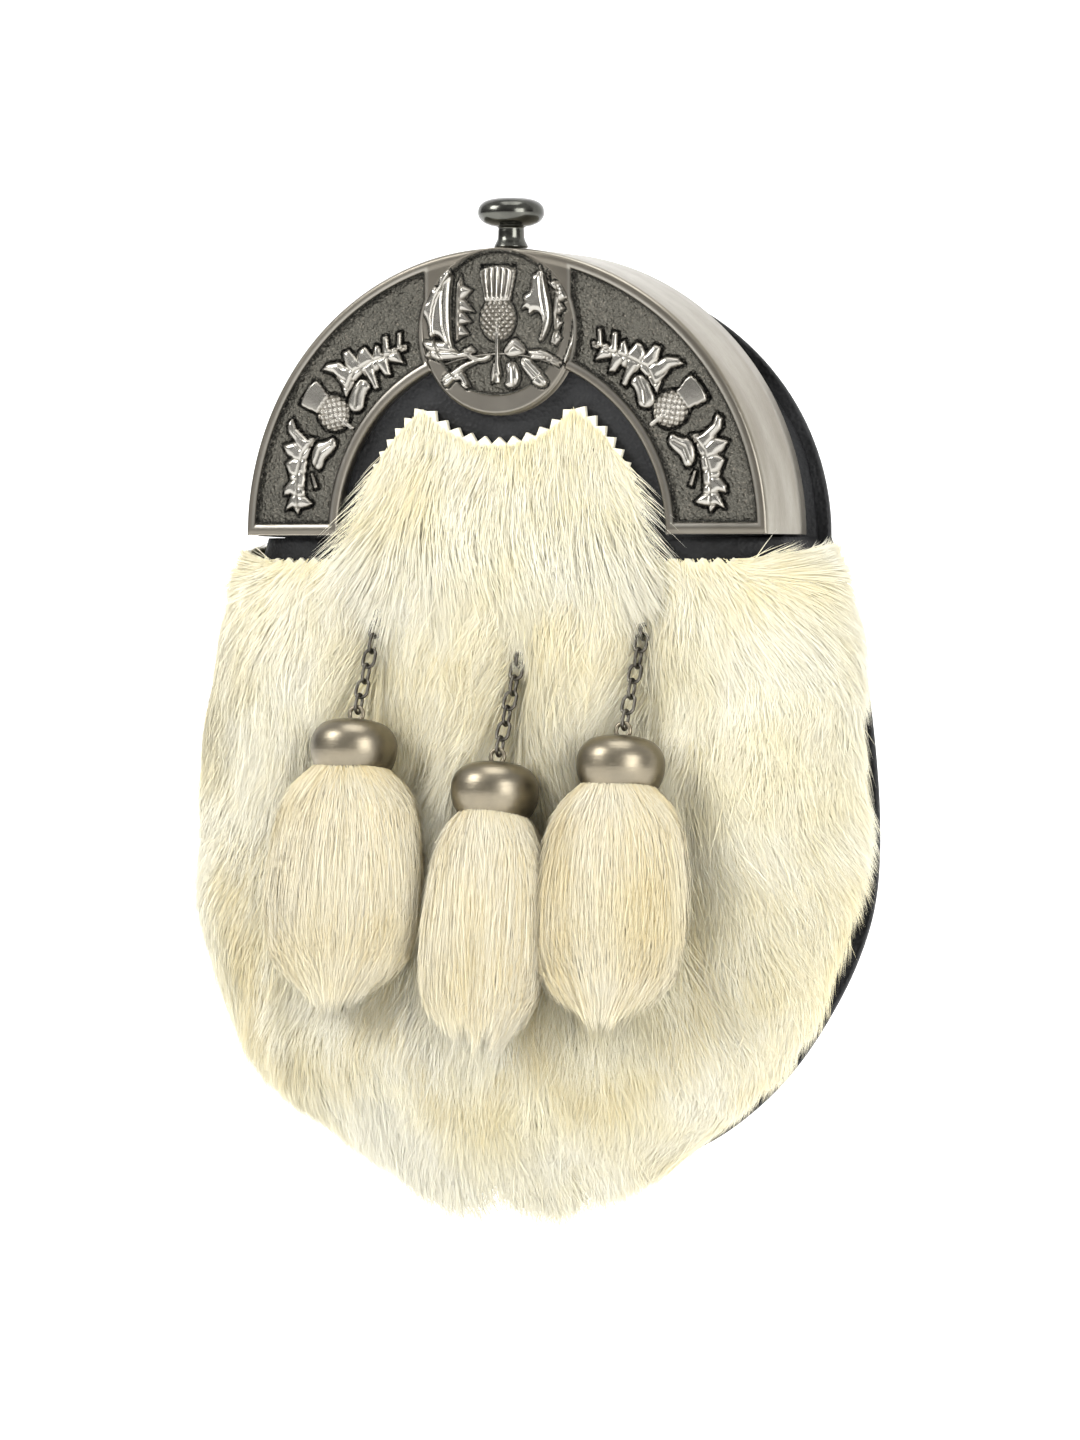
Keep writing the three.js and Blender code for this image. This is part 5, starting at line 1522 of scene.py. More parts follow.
        def skin(share: Array) -> tuple[Array, Array, Array]:
            """Heights, turns and leather points of rows of the skin."""
            teeth = saw[None, :] * smooth(0.06, 0.0, share)
            z = -self.margin - 0.2 - share * (self.drop - self.margin + 3.0) - teeth
            turn = t * self.side_turn(z)
            return z, turn, self.pouch.point(z, turn)

        share = np.linspace(0.0, 1.0, rows)[:, None] ** 1.25
        z, turn, base = skin(share)
        out = self.pouch.normal(z, turn)
        puff = 0.8 * self.coat(base[..., 0], z, turn)
        rim = smooth(0.0, 0.03, 1.0 - np.abs(t)) * smooth(0.0, 0.04, 1.0 - share) * smooth(0.0, 0.05, share)
        locks = 0.5 * SoftNoise(8, 4.0).at(np.stack([base[..., 0], z * 0.25], -1))
        outer = base + out * (0.6 + 1.2 * (1.0 - rim) + (self.hide + puff + locks) * rim)[..., None]
        zi, ti, low = skin(np.linspace(0.0, 1.0, rear_rows)[:, None] ** 1.25)
        inner = low + self.pouch.normal(zi, ti) * 0.4
        count = rows * columns
        points = np.concatenate([outer.reshape(-1, 3), inner.reshape(-1, 3)])
        index = np.arange(count + rear_rows * columns).reshape(-1, columns)
        front, rear = index[:rows], index[rows:]
        top = np.stack([front[0, :-1], front[0, 1:], rear[0, 1:], rear[0, :-1]], 1)
        bottom = np.stack([front[-1, 1:], front[-1, :-1], rear[-1, :-1], rear[-1, 1:]], 1)
        left = np.concatenate([rear[:, 0], front[::-1, 0]])[None, :]
        right = np.concatenate([front[:, -1], rear[::-1, -1]])[None, :]
        sides = [grid_faces(rows, columns)[:, ::-1], grid_faces(rear_rows, columns, start=count)]
        faces = [*sides, top, bottom, left, right]
        make_piece("fur_undercoat", points, faces, material, ["fur_front"])

    def grow(self) -> Hairs:
        """Grows the hairs of the whole pelt below the tongue."""
        rng = np.random.default_rng(41)
        share = rng.uniform(0.0, 1.0, int(self.count * 1.6)) ** 1.08
        z = -self.margin - 0.6 - share * (self.drop - self.margin + 2.5)
        turn = rng.uniform(-1.0, 1.0, len(z)) * self.side_turn(z)
        half = np.interp(z, self.pouch.heights, self.pouch.table[:, 0])
        keep = rng.uniform(0.0, 1.0, len(z)) < np.clip(half / self.pouch.half_width + 0.12, 0.0, 1.0)
        keep = np.flatnonzero(keep)[:self.count]
        z, turn = z[keep], turn[keep]
        n = len(z)
        base = self.pouch.point(z, turn)
        out = self.pouch.normal(z, turn)
        x = base[:, 0]
        fall = np.array([0.0, 0.0, -1.0])
        down = unit(fall - out * (out @ fall)[:, None])
        across = unit(np.cross(down, out))
        across *= np.where(across[:, :1] < 0, -1.0, 1.0)
        spots = np.stack([x, z * 0.7], 1)
        spread = 0.40 * SoftNoise(21, 26.0).at(spots) + 0.34 * SoftNoise(24, 10.0).at(spots)
        spread += 0.24 * SoftNoise(26, 4.5).at(spots)
        side = np.clip(x / 60.0, -1.0, 1.0)
        spread += side * (0.75 * smooth(-44.0, -8.0, z) * smooth(38.0, 60.0, np.abs(x)) + 0.12)
        for hang in self.hangs:
            near = x - hang.eye[0]
            valley = smooth(hang.cup[2] - 8.0, hang.cup[2] + 4.0, z)
            valley = valley * smooth(hang.eye[2] + 16.0, hang.eye[2], z)
            spread += 0.42 * np.clip(near / 5.0, -1.0, 1.0) * np.exp(-((near / 11.0) ** 2)) * valley
        spread += rng.normal(0.0, 0.22, n)
        upward = 1.25 * smooth(-17.0, -8.0, z) * smooth(54.0, 68.0, np.abs(x))
        flow = unit(down * (1.0 - upward)[:, None] + across * spread[:, None])
        long = 16.0 + 4.0 * SoftNoise(22, 16.0).at(spots) + rng.uniform(-6.0, 4.0, n)
        long *= (1.0 + 0.3 * smooth(-146.0, -162.0, z)) * (0.62 + 0.38 * smooth(-7.0, -22.0, z))
        thick = self.coat(x, z, turn)
        over_x, over_z = x + flow[:, 0] * long * 0.8, z + flow[:, 2] * long * 0.8
        ahead = self.coat(over_x, np.maximum(over_z, -166.0), np.clip(turn, -0.9, 0.9))
        level = rng.uniform(0.74, 1.0, n)
        rise = 0.1 + thick * 0.93 * level
        goal = ahead * np.minimum(level + rng.uniform(0.12, 0.5, n), 1.06)
        edge = 1.0 - np.abs(turn) / self.side_turn(z)
        fly = (rng.uniform(0.0, 1.0, n) < 0.02) * rng.uniform(0.5, 2.6, n) * smooth(0.0, 0.2, edge)
        roots = base + out * (0.6 + self.hide * 0.8 + rise)[:, None]
        tips = roots + flow * long[:, None]
        where = np.stack([x, z], 1) + 0.5 * flow[:, ::2] * long[:, None]
        pull = 0.17 * gathered(tips, where, 3.0, 31) + 0.12 * gathered(tips, where, 12.0, 35)
        pull += across * (rng.normal(0.0, 1.2, n) + 2.2 * SoftNoise(27, 7.0).at(where))[:, None]
        limit = np.linalg.norm(pull, axis=1, keepdims=True)
        pull *= np.minimum(1.0, 3.2 / np.maximum(limit, 1e-6))
        lie = self.shaded(out, across, down, lambda dx, dz: self.coat(x + dx, z + dz, turn))
        # the tint is lowered by yellowed patches and by painted warm shade round the tassels
        width, tint = rng.uniform(0.13, 0.23, n), rng.uniform(0.0, 1.0, n) - self.yellowing_and_shade(x, z)
        return Hairs(roots, out, flow, long, goal - rise + 0.4 + fly, pull, width, tint, lie)

    def grow_tongue(self) -> Hairs:
        """Grows the hairs on the tongue of hide, which lie down over the pelt."""
        rng = np.random.default_rng(43)
        x = rng.uniform(-41.0, 41.0, 26000)
        z = rng.uniform(-self.margin - 6.0, 42.0, len(x))
        keep = self.room(x, z) > -0.4
        x, z = x[keep], z[keep]
        n = len(x)
        inside = self.room(x, z)
        thick = self.tongue_coat(x, z)
        out = np.tile(np.array([0.0, -1.0, 0.0]), (n, 1))
        side = np.clip(x / 38.0, -1.0, 1.0)
        spots = np.stack([x, z], 1)
        spread = 0.36 * SoftNoise(23, 20.0).at(spots) + 0.3 * SoftNoise(25, 7.0).at(spots)
        spread += rng.normal(0.0, 0.22, n)
        spread += 0.36 * side * smooth(0.5, 1.0, np.abs(side)) * smooth(38.0, 12.0, z)
        wisps = (rng.uniform(0.0, 1.0, n) < 0.14) * smooth(0.6, 0.9, np.abs(side)) * smooth(34.0, 22.0, z)
        spread += 0.8 * side * wisps
        flow = unit(np.stack([spread, np.zeros(n), -np.ones(n)], 1))
        long = 6.0 + 12.0 * smooth(2.0, 20.0, inside) + 10.0 * smooth(26.0, 0.0, z) + 7.0 * wisps
        long += rng.uniform(-3.0, 3.0, n)
        level = rng.uniform(0.0, 1.0, n)
        roots = joined(x, -39.7 + set_back(x) - 0.8 * thick * level, z)
        over_x, over_z = x + flow[:, 0] * long * 0.8, z + flow[:, 2] * long * 0.8
        below = smooth(2.0, -12.0, over_z)
        goal = self.tongue_coat(np.clip(over_x, -38.0, 38.0), over_z) * (1.0 - below) + 8.5 * below
        share = np.minimum(level + rng.uniform(0.12, 0.5, n), 1.05)
        lift = np.maximum(goal * share - 0.8 * thick * level, 0.2)
        lift += (rng.uniform(0.0, 1.0, n) < 0.04) * rng.uniform(0.5, 2.5, n)
        tips = roots + flow * long[:, None]
        pull = 0.16 * gathered(tips, spots, 3.0, 37) + 0.1 * gathered(tips, spots, 10.0, 39)
        right, down = np.array([[1.0, 0.0, 0.0]]), np.array([[0.0, 0.0, -1.0]])
        lie = self.shaded(out, right, down, lambda dx, dz: self.tongue_coat(x + dx, z + dz))
        width, tint = rng.uniform(0.12, 0.22, n), rng.uniform(0.0, 1.0, n)
        return Hairs(roots, out, flow, long, lift, pull, width, tint, lie)

    def build(self, fur: Material, undercoat: Material) -> None:
        """Makes the undercoat, the tongue and the coat, in bands from the top down.

        Args:
            fur: the hair's finish.
            undercoat: the finish of the skin between the hairs, darkened as painted shade.
        """
        self.build_undercoat(undercoat)
        outline = self.tongue_outline()
        bow_back(cut_plate("fur_tongue", outline, -39.6, -37.7, undercoat, ["fur_front"], (), 0.3))
        self.grow_tongue().build("fur_coat_tongue", fur, "fur_front", 51)
        coat = self.grow()
        order = np.argsort(-coat.roots[:, 2])
        for number, pick in enumerate(np.array_split(order, self.pieces), 1):
            coat.part(pick).build(f"fur_coat_{number}", fur, "fur_front", 60 + number)


# chains, cups and tassels

def swung(points: Array, degrees: float, place: Sequence[float]) -> Array:
    """Points turned about the x axis, then moved.

    Args:
        points: the points.
        degrees: the turn, which swings what hangs below towards the front when negative.
        place: where the origin goes.

    Returns:
        The moved points.
    """
    cos, sin = math.cos(math.radians(degrees)), math.sin(math.radians(degrees))
    out = points.copy()
    out[..., 1] = points[..., 1] * cos - points[..., 2] * sin
    out[..., 2] = points[..., 1] * sin + points[..., 2] * cos
    return out + np.array(place)


def wire_ring(radius: float, wire: float, stretch: float, along_x: bool) -> Array:
    """The points of a wire ring, round or oval, in 28 rows of 10.

    Args:
        radius: the wire's middle radius.
        wire: the wire's thickness.
        stretch: how much longer each half is, up and down.
        along_x: whether its hole runs along x rather than y.

    Returns:
        An array of rows of points.
    """
    a, b = turns(28)[:, None], turns(10)[None, :]
    flat = (radius + wire / 2 * np.cos(b)) * np.cos(a)
    tall = (radius + wire / 2 * np.cos(b)) * np.sin(a) + np.sign(np.round(np.sin(a), 6)) * stretch
    deep = wire / 2 * np.sin(b)
    return joined(deep, -flat, tall) if along_x else joined(flat, deep, tall)


@dataclass
class Tassel:
    """A wire chain, a turned cup and the tassel of fur below it.

    Attributes:
        hang: where it all hangs.
        link: a link's length, width and wire.
        links: how many links the chain has.
        bite: how deep neighbouring links are pressed into each other.
        eye: the eye's radius and wire.
        flange: the eye flange's radius and thickness.
        cup: the cup's radius and height.
        mouth: the radius of the cup's mouth.
        wall: the cup's thickness.
        hair: the tassel's length, half width and half thickness.
        tilt: how far the tassel leans off the fur, in degrees.
        gap: the play between links.
        count: how many hairs it has.
    """

    hang: Hang
    link: Triple = (6.0, 4.1, 0.9)
    links: int = 6
    bite: float = 0.16
    eye: Pair = (1.9, 1.1)
    flange: Pair = (2.6, 0.8)
    cup: Pair = (11.2, 14.2)
    mouth: float = 8.7
    wall: float = 1.1
    hair: Triple = (60.0, 20.5, 10.5)
    tilt: float = 10.0
    gap: float = 0.3
    count: int = 9000

    @property
    def name(self) -> str:
        """The side's name as the solids have it."""
        return self.hang.side.value

    @property
    def mouth_z(self) -> float:
        """The height of the cup's mouth below its eye."""
        return -self.eye[0] * 0.75 - self.cup[1]

    def placed(self, points: Array) -> Array:
        """Points moved from the cup's own frame to where it hangs."""
        return swung(points, -self.tilt, self.hang.cup)

    def build_chain(self, material: Material) -> None:
        """Bends the links of the chain and the eye that holds it.

        Args:
            material: the wire's finish.
        """
        length, width, wire = self.link
        radius, stretch = (width - wire) / 2, (length - width) / 2
        first = self.eye[0] + self.eye[1] / 2 - self.eye[1] - self.gap - wire + length / 2
        pitch = length - 2 * wire + self.bite
        rings, faces = [], []
        for i in range(self.links):
            ring = wire_ring(radius, wire, stretch, i % 2 == 1) - np.array([0.0, 0.0, first + i * pitch])
            rings.append(swung(ring, self.hang.lean, self.hang.eye).reshape(-1, 3))
            faces.append(self.ring_faces(ring.shape, i * len(rings[0])))
        name, points = f"chain_links_{self.name}", np.concatenate(rings)
        make_piece(name, points, faces, material, [f"chain_{self.name}"])
        ring = wire_ring(*self.eye, 0.0, True)
        seat = self.eye[0] + self.eye[1] * 0.2
        radius, deep = self.flange
        profile = np.array([(0.01, 0.0), (radius * 0.5, 0.0), (radius, 0.15), (radius, deep), (0.01, deep)])
        sides, start = 24, ring.shape[0] * ring.shape[1]
        a, (r, h) = turns(sides)[None, :], profile.T[:, :, None]
        disc = joined(r * np.cos(a), seat + h, r * np.sin(a))
        points = np.concatenate([ring.reshape(-1, 3), disc.reshape(-1, 3)]) + np.array(self.hang.eye)
        cap, last = start + np.arange(sides), start + (len(profile) - 1) * sides + np.arange(sides)
        faces = [self.ring_faces(ring.shape, 0), grid_faces(len(profile), sides, wrap=True, start=start)]
        faces += [cap[None, :], last[::-1][None, :]]
        make_piece(f"eye_ring_{self.name}", points, faces, material, [f"chain_eye_{self.name}"])

    @staticmethod
    def ring_faces(shape: tuple[int, ...], start: int) -> Array:
        """The faces of a ring whose rows and columns both close on themselves."""
        rows, columns = shape[:2]
        return grid_faces(rows + 1, columns, wrap=True) % (rows * columns) + start

    def build_cup(self, material: Material) -> None:
        """Turns the cup, with a rolled mouth and its own eye.

        Args:
            material: the cup's finish.
        """
        top = -self.eye[0] * 0.75
        radius, tall = self.cup

        def at(across: float, down: float, inset: float = 0.0) -> Pair:
            """A point of the profile, from shares of the cup's size."""
            return max(across * radius - inset, 0.01), top - down * tall - inset * 0.9

        outside = [at(across, down) for across, down in (
            (0.0, 0.0), (0.28, 0.004), (0.5, 0.03), (0.7, 0.085), (0.84, 0.17), (0.94, 0.28), (0.99, 0.4),
            (1.0, 0.52), (0.985, 0.66), (0.92, 0.82), (0.84, 0.93), (self.mouth / radius, 1.0),
        )]
        lip, edge = (self.mouth - self.wall, top - tall), (self.mouth - self.wall / 2, top - tall - 0.25)
        hollow = ((0.9, 0.8), (0.98, 0.56), (0.78, 0.2), (0.0, 0.03))
        inside = [lip, *(at(across, down, self.wall) for across, down in hollow)]
        profile = rounded(outside, 4) + [edge] + rounded(inside, 3)
        solid = [f"cup_{self.name}"]
        lathe(f"cup_bell_{self.name}", profile[::-1], 64, self.placed, material, solid)
        ring = wire_ring(*self.eye, 0.0, self.links % 2 == 1)
        points, faces = self.placed(ring).reshape(-1, 3), self.ring_faces(ring.shape, 0)
        make_piece(f"cup_eye_{self.name}", points, [faces], material, solid)

    def section(self, down: Array) -> tuple[Array, Array]:
        """The tassel's half width and half thickness at shares of its length.

        Args:
            down: shares of the length, from the cup's mouth.

        Returns:
            The half widths and the half thicknesses.
        """
        stops = [0.0, 0.05, 0.18, 0.4, 0.64, 0.8, 0.92, 1.0]
        wide = np.interp(down, stops, [0.50, 0.70, 0.93, 1.03, 1.05, 0.96, 0.70, 0.24])
        thick = np.interp(down, stops, [0.86, 0.97, 1.05, 1.05, 0.98, 0.82, 0.55, 0.22])
        return wide * self.hair[1] * self.hang.width, thick * self.hair[2]

    def build_core(self, material: Material) -> None:
        """Makes the dense heart of the tassel, which keeps the hide from showing between its hairs.

        Args:
            material: its finish, darkened as painted shade of the tassel's depth.
        """
        rows, columns = 60, 48
        down, a = np.linspace(0.0, 0.84, rows)[:, None], turns(columns)[None, :]
        wide, thick = self.section(down)
        close = 0.965 * np.sqrt(np.clip(1.0 - (down / 0.845) ** 5, 0.0, 1.0))
        ridge = 1.0 + 0.012 * np.cos(7 * a + 3.0 * down)
        z = self.mouth_z + 1.5 - down * self.hair[0] * self.hang.length
        points = joined(wide * close * ridge * np.cos(a), thick * close * ridge * np.sin(a), z)
        points, last = self.placed(points).reshape(-1, 3), (rows - 1) * columns + np.arange(columns)
        side = grid_faces(rows, columns, wrap=True)[:, ::-1]
        faces = [side, np.arange(columns)[None, :], last[::-1][None, :]]
        make_piece(f"tassel_core_{self.name}", points, faces, material, [f"tassel_{self.name}"])

    def build_hair(self, material: Material, seed: int) -> None:
        """Hangs the tassel's hair from the cup's mouth, gathered into soft locks.

        Args:
            material: the hair's finish.
            seed: picks the hairs.
        """
        rng = np.random.default_rng(seed)
        n = self.count
        a = rng.uniform(0.0, 2 * math.pi, n)
        a = np.where((np.sin(a) > 0.25) & (rng.uniform(0, 1, n) < 0.7), -a, a)
        start = rng.uniform(0.0, 0.84, n) ** 1.15 * (rng.uniform(0, 1, n) > 0.1)
        wide, thick = self.section(start)
        depth = rng.uniform(0.95, 1.03, n)
        long = self.hair[0] * self.hang.length
        roots = joined(wide * depth * np.cos(a), thick * depth * np.sin(a), self.mouth_z + 1.5 - start * long)
        stray = np.interp(np.cos(a), np.linspace(-1.0, 1.0, len(self.hang.strays)), self.hang.strays)
        run = rng.uniform(0.3, 0.55, n) * (0.3 + 0.7 * smooth(0.0, 0.3, start))
        end = np.minimum(start + run, 1.08 - 0.2 * rng.uniform(0.0, 1.0, n)) * stray
        end_wide, end_thick = self.section(np.clip(end, 0.0, 1.0))
        reach = np.minimum(depth * rng.uniform(0.96, 1.06, n), 1.06)
        swirl = a + 0.2 * SoftNoise(seed, 0.9).at(np.stack([a, start * 2.0], 1)) + rng.normal(0.0, 0.07, n)
        across, deep = end_wide * reach * np.cos(swirl), end_thick * reach * np.sin(swirl)
        tips = joined(across, deep, self.mouth_z + 1.5 - end * long)
        lock = gathered(tips, np.stack([a * 10.0, end * 30.0], 1), 6.5, seed)
        fine = gathered(tips, np.stack([a * 10.0, start * 40.0], 1), 2.6, seed + 5)
        way = tips - roots
        length = np.linalg.norm(way, axis=1)
        out = unit(joined(np.cos(a) / self.hair[1], np.sin(a) / self.hair[2], 0.0))
        pull = 0.12 * lock * smooth(0.6, 0.95, end)[:, None] + 0.06 * fine + rng.normal(0.0, 0.35, (n, 3))
        pull[:, 2] *= 0.2
        lumps = SoftNoise(seed + 3, 5.0)
        spots = np.stack([a * 14.0, (start + end) * 16.0], 1)
        tangent, beside = joined(-np.sin(a), np.cos(a), 0.0), np.array([1.0, 0.0])
        sway = lumps.at(spots + beside) - lumps.at(spots - beside)
        low = smooth(0.6, 1.0, end)[:, None]
        lie = (out - 0.22 * tangent * sway[:, None]) * (1.0 - 0.75 * low)
        lie = unit(lie + np.array([0.0, -1.0, -0.1]) * low)
        turned = [self.placed(v) - np.array(self.hang.cup) for v in (out, unit(way), pull, lie)]
        warm = 0.8 * smooth(0.0, 0.55, SoftNoise(seed + 7, 11.0).at(np.stack([a * 14.0, end * 12.0], 1)))
        lift, width = rng.uniform(0.15, 0.75, n), rng.uniform(0.10, 0.19, n)
        tint = rng.uniform(0.0, 1.0, n) - warm
        out, way, pull, lie = turned
        hairs = Hairs(self.placed(roots), out, way, length, lift, pull, width, tint, lie, 2)
        hairs.build(f"tassel_hair_{self.name}", material, f"tassel_{self.name}", seed + 9)


# leather

@dataclass
class StitchRow:
    """A row of small stitches along a line.

    Attributes:
        pitch: the distance from one stitch to the next.
        length: a stitch's length.
        thread: the thread's radius.
    """

    pitch: float = 3.4
    length: float = 2.5
    thread: float = 0.32

    def build(self, name: str, lines: Sequence[Array], material: Material, stands_for: str) -> None:
        """Sews stitches along lines, as one piece.

        Args:
            name: the piece's name.
            lines: lines of points on leather that faces back.
            material: the thread's finish.
            stands_for: the solid that the stitches belong to.
        """
        out = np.array([0.0, 1.0, 0.0])
        starts, ways = [], []
        for line in lines:
            steps = np.linalg.norm(np.diff(line, axis=0), axis=1)
            run = np.concatenate([[0.0], np.cumsum(steps)])
            places = np.arange(self.pitch / 2, run[-1] - self.pitch / 2, self.pitch)
            low, high = places - self.length / 2, places + self.length / 2
            ends = [np.stack([np.interp(v, run, line[:, k]) for k in range(3)], 1) for v in (low, high)]
            starts.append(ends[0])
            ways.append(ends[1] - ends[0])
        start, way = np.concatenate(starts), np.concatenate(ways)
        side = unit(np.cross(way, out))
        t = np.array([0.0, 0.08, 0.3, 0.5, 0.7, 0.92, 1.0])
        size = np.array([0.25, 0.8, 1.0, 1.0, 1.0, 0.8, 0.25]) * self.thread
        sink = np.array([-1.1, -0.3, 0.2, 0.35, 0.2, -0.3, -1.1]) * self.thread
        b = turns(8)
        middle = start[:, None] + way[:, None] * t[None, :, None] + out * sink[None, :, None]
        ring = side[:, None, None] * np.cos(b)[None, None, :, None] + out * np.sin(b)[None, None, :, None]
        points = middle[:, :, None] + ring * size[None, :, None, None]
        each = len(t) * len(b)
        faces = grid_faces(len(t), len(b), wrap=True)
        caps = np.stack([np.arange(len(b))[::-1], np.arange(len(b)) + each - len(b)])
        shift = (np.arange(len(start)) * each)[:, None, None]
        all_faces = [(faces[None] + shift).reshape(-1, 4), (caps[None] + shift).reshape(-1, len(b))]
        make_piece(name, points.reshape(-1, 3), all_faces, material, [stands_for])


@dataclass
class LeatherWork:
    """The leather pouch behind the fur: panels, side wall, flap and belt loops.

    Attributes:
        pouch: the pouch's form.
        proud: how far the back's edge stands out past the side wall.
        rise: how far the back rises above the cantle's foot.
        mouth: the mouth's width and height, and how far its middle lies below the foot.
        flap: the flap's half width, its height, and how far its top lies below the foot.
        stud: the stud's radius, and how far it lies above the flap's lower edge.
        loop: the belt loop's width, slot, standoff and foot.
        loop_x: how far each loop stands from the middle.
        lining: the outer radius of the leather inside the arch.
    """

    pouch: Pouch
    proud: float = 3.0
    rise: float = 66.0
    mouth: Triple = (88.0, 24.0, 26.0)
    flap: Triple = (54.0, 66.0, 8.0)
    stud: Pair = (5.0, 12.0)
    loop: tuple[float, float, float, float] = (18.0, 28.0, 6.0, 8.0)
    loop_x: float = 48.0
    lining: float = 71.4

    def back_outline(self, inset: float) -> Array:
        """The back panel's outline as x and z, counted from its lower right round to its left.

        Args:
            inset: how far inside the panel's edge it runs.

        Returns:
            The outline's points.
        """
        z = self.pouch.evenly(90)
        half = np.interp(np.linspace(0.0, 1.0, 90), np.linspace(0, 1, TABLE_ROWS), self.pouch.table[::-1, 0])
        angle = np.linspace(0.0, math.pi, 80)[1:-1]
        wide, tall = half[0] + self.proud - inset, self.rise + self.proud - inset
        arc = np.stack([np.cos(angle) * wide, np.sin(angle) * tall], 1)
        edge = half + self.proud - inset
        return np.concatenate([np.stack([edge, z], 1)[::-1], arc, np.stack([-edge, z], 1)])

    def flap_outline(self, inset: float) -> Array:
        """The flap's outline as x and z, inset by a length."""
        half, tall, down = self.flap
        turn = np.linspace(0.0, math.pi, 70)
        low = -down - tall * 0.3 - np.sin(turn) ** 0.8 * (tall * 0.7 - inset)
        curve = np.stack([-np.cos(turn) * (half - inset), low], 1)
        return np.concatenate([curve, [[half - inset, -down - inset], [-half + inset, -down - inset]]])

    def build_back(self, leather: Material, thread: Material) -> None:
        """Cuts the back panel with the mouth through it, and sews round its edge.

        Args:
            leather: the leather's finish.
            thread: the thread's finish.
        """
        width, tall, down = self.mouth
        radius = tall / 2
        t = np.linspace(-math.pi / 2, math.pi / 2, 20)
        right = np.stack([width / 2 - radius + radius * np.cos(t), -down + radius * np.sin(t)], 1)
        hole = np.concatenate([right, (right * np.array([-1.0, 1.0]))[::-1]])
        outline = self.back_outline(0.0)
        cut_plate("back_leather", outline, -2.0, 0.0, leather, ["back_panel"], [hole])
        line = self.back_outline(4.0)
        line = line[line[:, 1] > -158.0]
        StitchRow().build("back_stitches", [joined(line[:, 0], 0.0, line[:, 1])], thread, "back_panel")

    def build_flap(self, leather: Material, thread: Material, metal: Material) -> None:
        """Cuts and sews the flap over the mouth, and sets its stud.

        Args:
            leather: the leather's finish.
            thread: the thread's finish.
            metal: the stud's finish.
        """
        cut_plate("flap_leather", self.flap_outline(0.0), 0.3, 2.3, leather, ["back_flap"])
        line = self.flap_outline(3.4)
        sewn = joined(line[:, 0], 2.3, line[:, 1])
        sewn = np.concatenate([sewn, sewn[:1]])
        StitchRow(3.0, 2.2, 0.3).build("flap_stitches", [sewn], thread, "back_flap")
        radius, up = self.stud
        place = np.array([0.0, 2.6, -self.flap[2] - self.flap[1] + up])
        profile = rounded([
            (0.9, -2.2), (1.0, -0.3), (radius, 0.0), (radius, 0.5), (radius * 0.8, 1.3), (0.3, 1.6),
        ], 4)

        def stand(points: Array) -> Array:
            """Turns the stud's axis to point back, and moves it to its place."""
            return joined(points[:, 0], points[:, 2], -points[:, 1]) + place

        lathe("stud_cap", profile, 32, stand, metal, ["flap_stud"])

    def build_loops(self, leather: Material, thread: Material) -> None:
        """Bends and sews the two belt loops.

        Args:
            leather: the leather's finish.
            thread: the thread's finish.
        """
        width, slot, off, foot = self.loop
        gap, thick = 0.3, self.pouch.leather
        reach = slot / 2 + foot
        z = np.linspace(-reach, reach, 90)
        rise = off * smooth(-slot / 2, -slot / 2 + off * 0.9, z) * smooth(slot / 2, slot / 2 - off * 0.9, z)
        slope = np.gradient(rise, z)
        norm = np.stack([1.0 / np.hypot(1, slope), -slope / np.hypot(1, slope)], 1)
        inner = np.stack([gap + rise, z], 1)
        outer = inner + norm * thick
        edge = width / 2
        section = (
            (-edge, 0.55), (-edge + 0.15, 0.2), (-edge + 0.5, 0.0), (0.0, 0.0), (edge - 0.5, 0.0),
            (edge - 0.15, 0.2), (edge, 0.55),
        )
        box = np.array([[-6.4, -2.3], [6.4, -2.3], [6.4, 2.3], [-6.4, 2.3], [-6.4, -2.3]])
        for side, middle in (("left", -self.loop_x), ("right", self.loop_x)):
            rows = []
            for across, drop in section:
                line = np.concatenate([outer - norm * drop, (inner + norm * drop)[::-1]])
                rows.append(joined(middle + across, line[:, 0], line[:, 1] + FOOT_TO_LOOPS))
            points = np.stack(rows)
            size = points.shape[:2]
            faces = [grid_faces(*size, wrap=True)[:, ::-1], *folded_ends(*size)]
            name, solid = f"loop_leather_{side}", f"belt_loop_{side}"
            make_piece(name, points.reshape(-1, 3), faces, leather, [solid])
            middles = [end * (slot / 2 + foot / 2) + FOOT_TO_LOOPS for end in (-1, 1)]
            lines = [joined(middle + box[:, 0], gap + thick + 0.02, up + box[:, 1]) for up in middles]
            StitchRow(2.1, 1.5, 0.26).build(f"loop_stitches_{side}", lines, thread, solid)

    def build_walls(self, leather: Material) -> None:
        """Makes the side wall and the front panel in soft leather with shallow creases.

        Args:
            leather: the leather's finish.
        """
        rows, columns = 64, 120
        down, around = self.pouch.evenly(rows)[:, None], np.linspace(-1.0, 1.0, columns)[None, :]
        z, turn = np.broadcast_arrays(down, around)
        base = self.pouch.point(z, turn)
        out = self.pouch.normal(z, turn)
        crease = 0.22 * SoftNoise(71, 9.0).at(base * np.array([1.0, 2.2, 0.7]))
        crease = crease * smooth(0.0, 0.1, 1.0 - np.abs(turn))
        outer = base + out * (crease - 0.1)[..., None]
        inner = base - out * self.pouch.leather
        points = np.concatenate([outer.reshape(-1, 3), inner.reshape(-1, 3)])
        faces = sheet_faces(rows, columns, True)
        make_piece("pouch_leather", points, faces, leather, ["gusset", "front_panel"])

